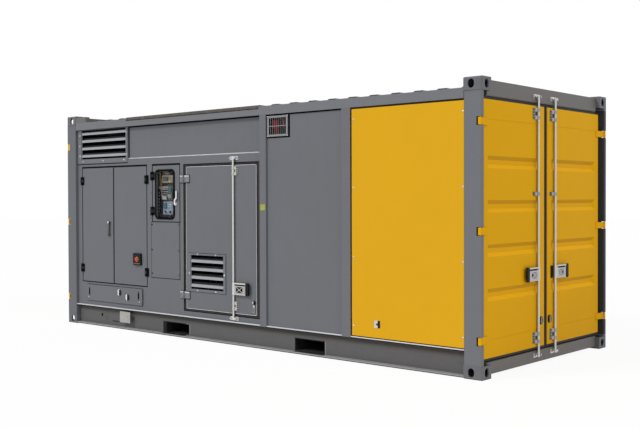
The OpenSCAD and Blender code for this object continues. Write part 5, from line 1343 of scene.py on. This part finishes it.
floor_mat, t, paint, _ = start_finish("studio floor")
paint.inputs["Base Color"].default_value = rgb(FLOOR_WHITE, FLOOR_WHITE, FLOOR_WHITE)
paint.inputs["Roughness"].default_value = 0.9
paint.inputs["Specular IOR Level"].default_value = 0.0
glow = put(t, "Emission", Color=rgb(1, 1, 1), Strength=1.0)
mixed = put(t, "MixShader")
t.links.new(maths(t, "MULTIPLY", looked_at(t), FLOOR_SHOWN), mixed.inputs[0])
t.links.new(paint.outputs[0], mixed.inputs[1])
t.links.new(glow.outputs[0], mixed.inputs[2])
t.links.new(mixed.outputs[0], t.nodes["Material Output"].inputs["Surface"])

floor_mesh = bmesh.new()
bmesh.ops.create_grid(floor_mesh, x_segments=1, y_segments=1, size=60.0)
floor_data = bpy.data.meshes.new("studio_floor")
floor_mesh.to_mesh(floor_data)
floor_mesh.free()
floor_data.materials.append(floor_mat)
studio_floor = bpy.data.objects.new("studio_floor", floor_data)
scene.collection.objects.link(studio_floor)

world = bpy.data.worlds.new("studio surround")
scene.world = world
world.use_nodes = True
t = world.node_tree
sky = t.nodes["Background"].inputs
t.links.new(ramp(t, looked_at(t), 0.0, 1.0, SOFT_FILL, 1.0), sky["Strength"])
sky["Color"].default_value = rgb(1, 1, 1)
print("floor and world ready")

# %% Lamps
AIM = Vector((0, 0, 1))

def lamp(name, energy, place, spread):
    data = bpy.data.lights.new(name, "SUN")
    data.energy = energy
    data.angle = math.radians(spread)
    item = bpy.data.objects.new(name, data)
    item.location = place
    item.rotation_euler = (AIM - Vector(place)).to_track_quat("-Z", "Y").to_euler()
    scene.collection.objects.link(item)

lamp("key", 1.55, (-3.5, -7.0, 8.0), 14)
lamp("end fill", 0.62, (6.0, -1.0, 5.0), 16)
print("lamps ready")

# %% [markdown]
# The camera stands off the near corner, a little above half the container's height, and looks
# almost level, with the lens of a short telephoto. Its axes come from three small turns, and
# the columns of its matrix are those axes.

# %% Camera
FRAME_WIDTH, SENSOR, FOCAL = 640, 36.0, 953.7  # the focal length is in the units of the width
PLACE, YAW, PITCH, ROLL = (7.323, -8.178, 1.554), 41.272, -0.898, -0.171
camera_data = bpy.data.cameras.new("camera")
camera_data.sensor_width = SENSOR
camera_data.lens = FOCAL * SENSOR / FRAME_WIDTH
camera_data.clip_end = 200.0
camera = bpy.data.objects.new("camera", camera_data)
scene.collection.objects.link(camera)
scene.camera = camera
yaw, pitch, roll = (math.radians(a) for a in (YAW, PITCH, ROLL))
forward = Vector((-math.sin(yaw) * math.cos(pitch), math.cos(yaw) * math.cos(pitch), math.sin(pitch)))
level = Vector((math.cos(yaw), math.sin(yaw), 0.0))
upward = level.cross(forward)
right = level * math.cos(roll) + upward * math.sin(roll)
upward = upward * math.cos(roll) - level * math.sin(roll)
turn = Matrix((right, upward, -forward)).transposed()
camera.matrix_world = Matrix.Translation(PLACE) @ turn.to_4x4()
print("camera at", [round(c, 3) for c in camera.location], "lens", round(camera_data.lens, 2))
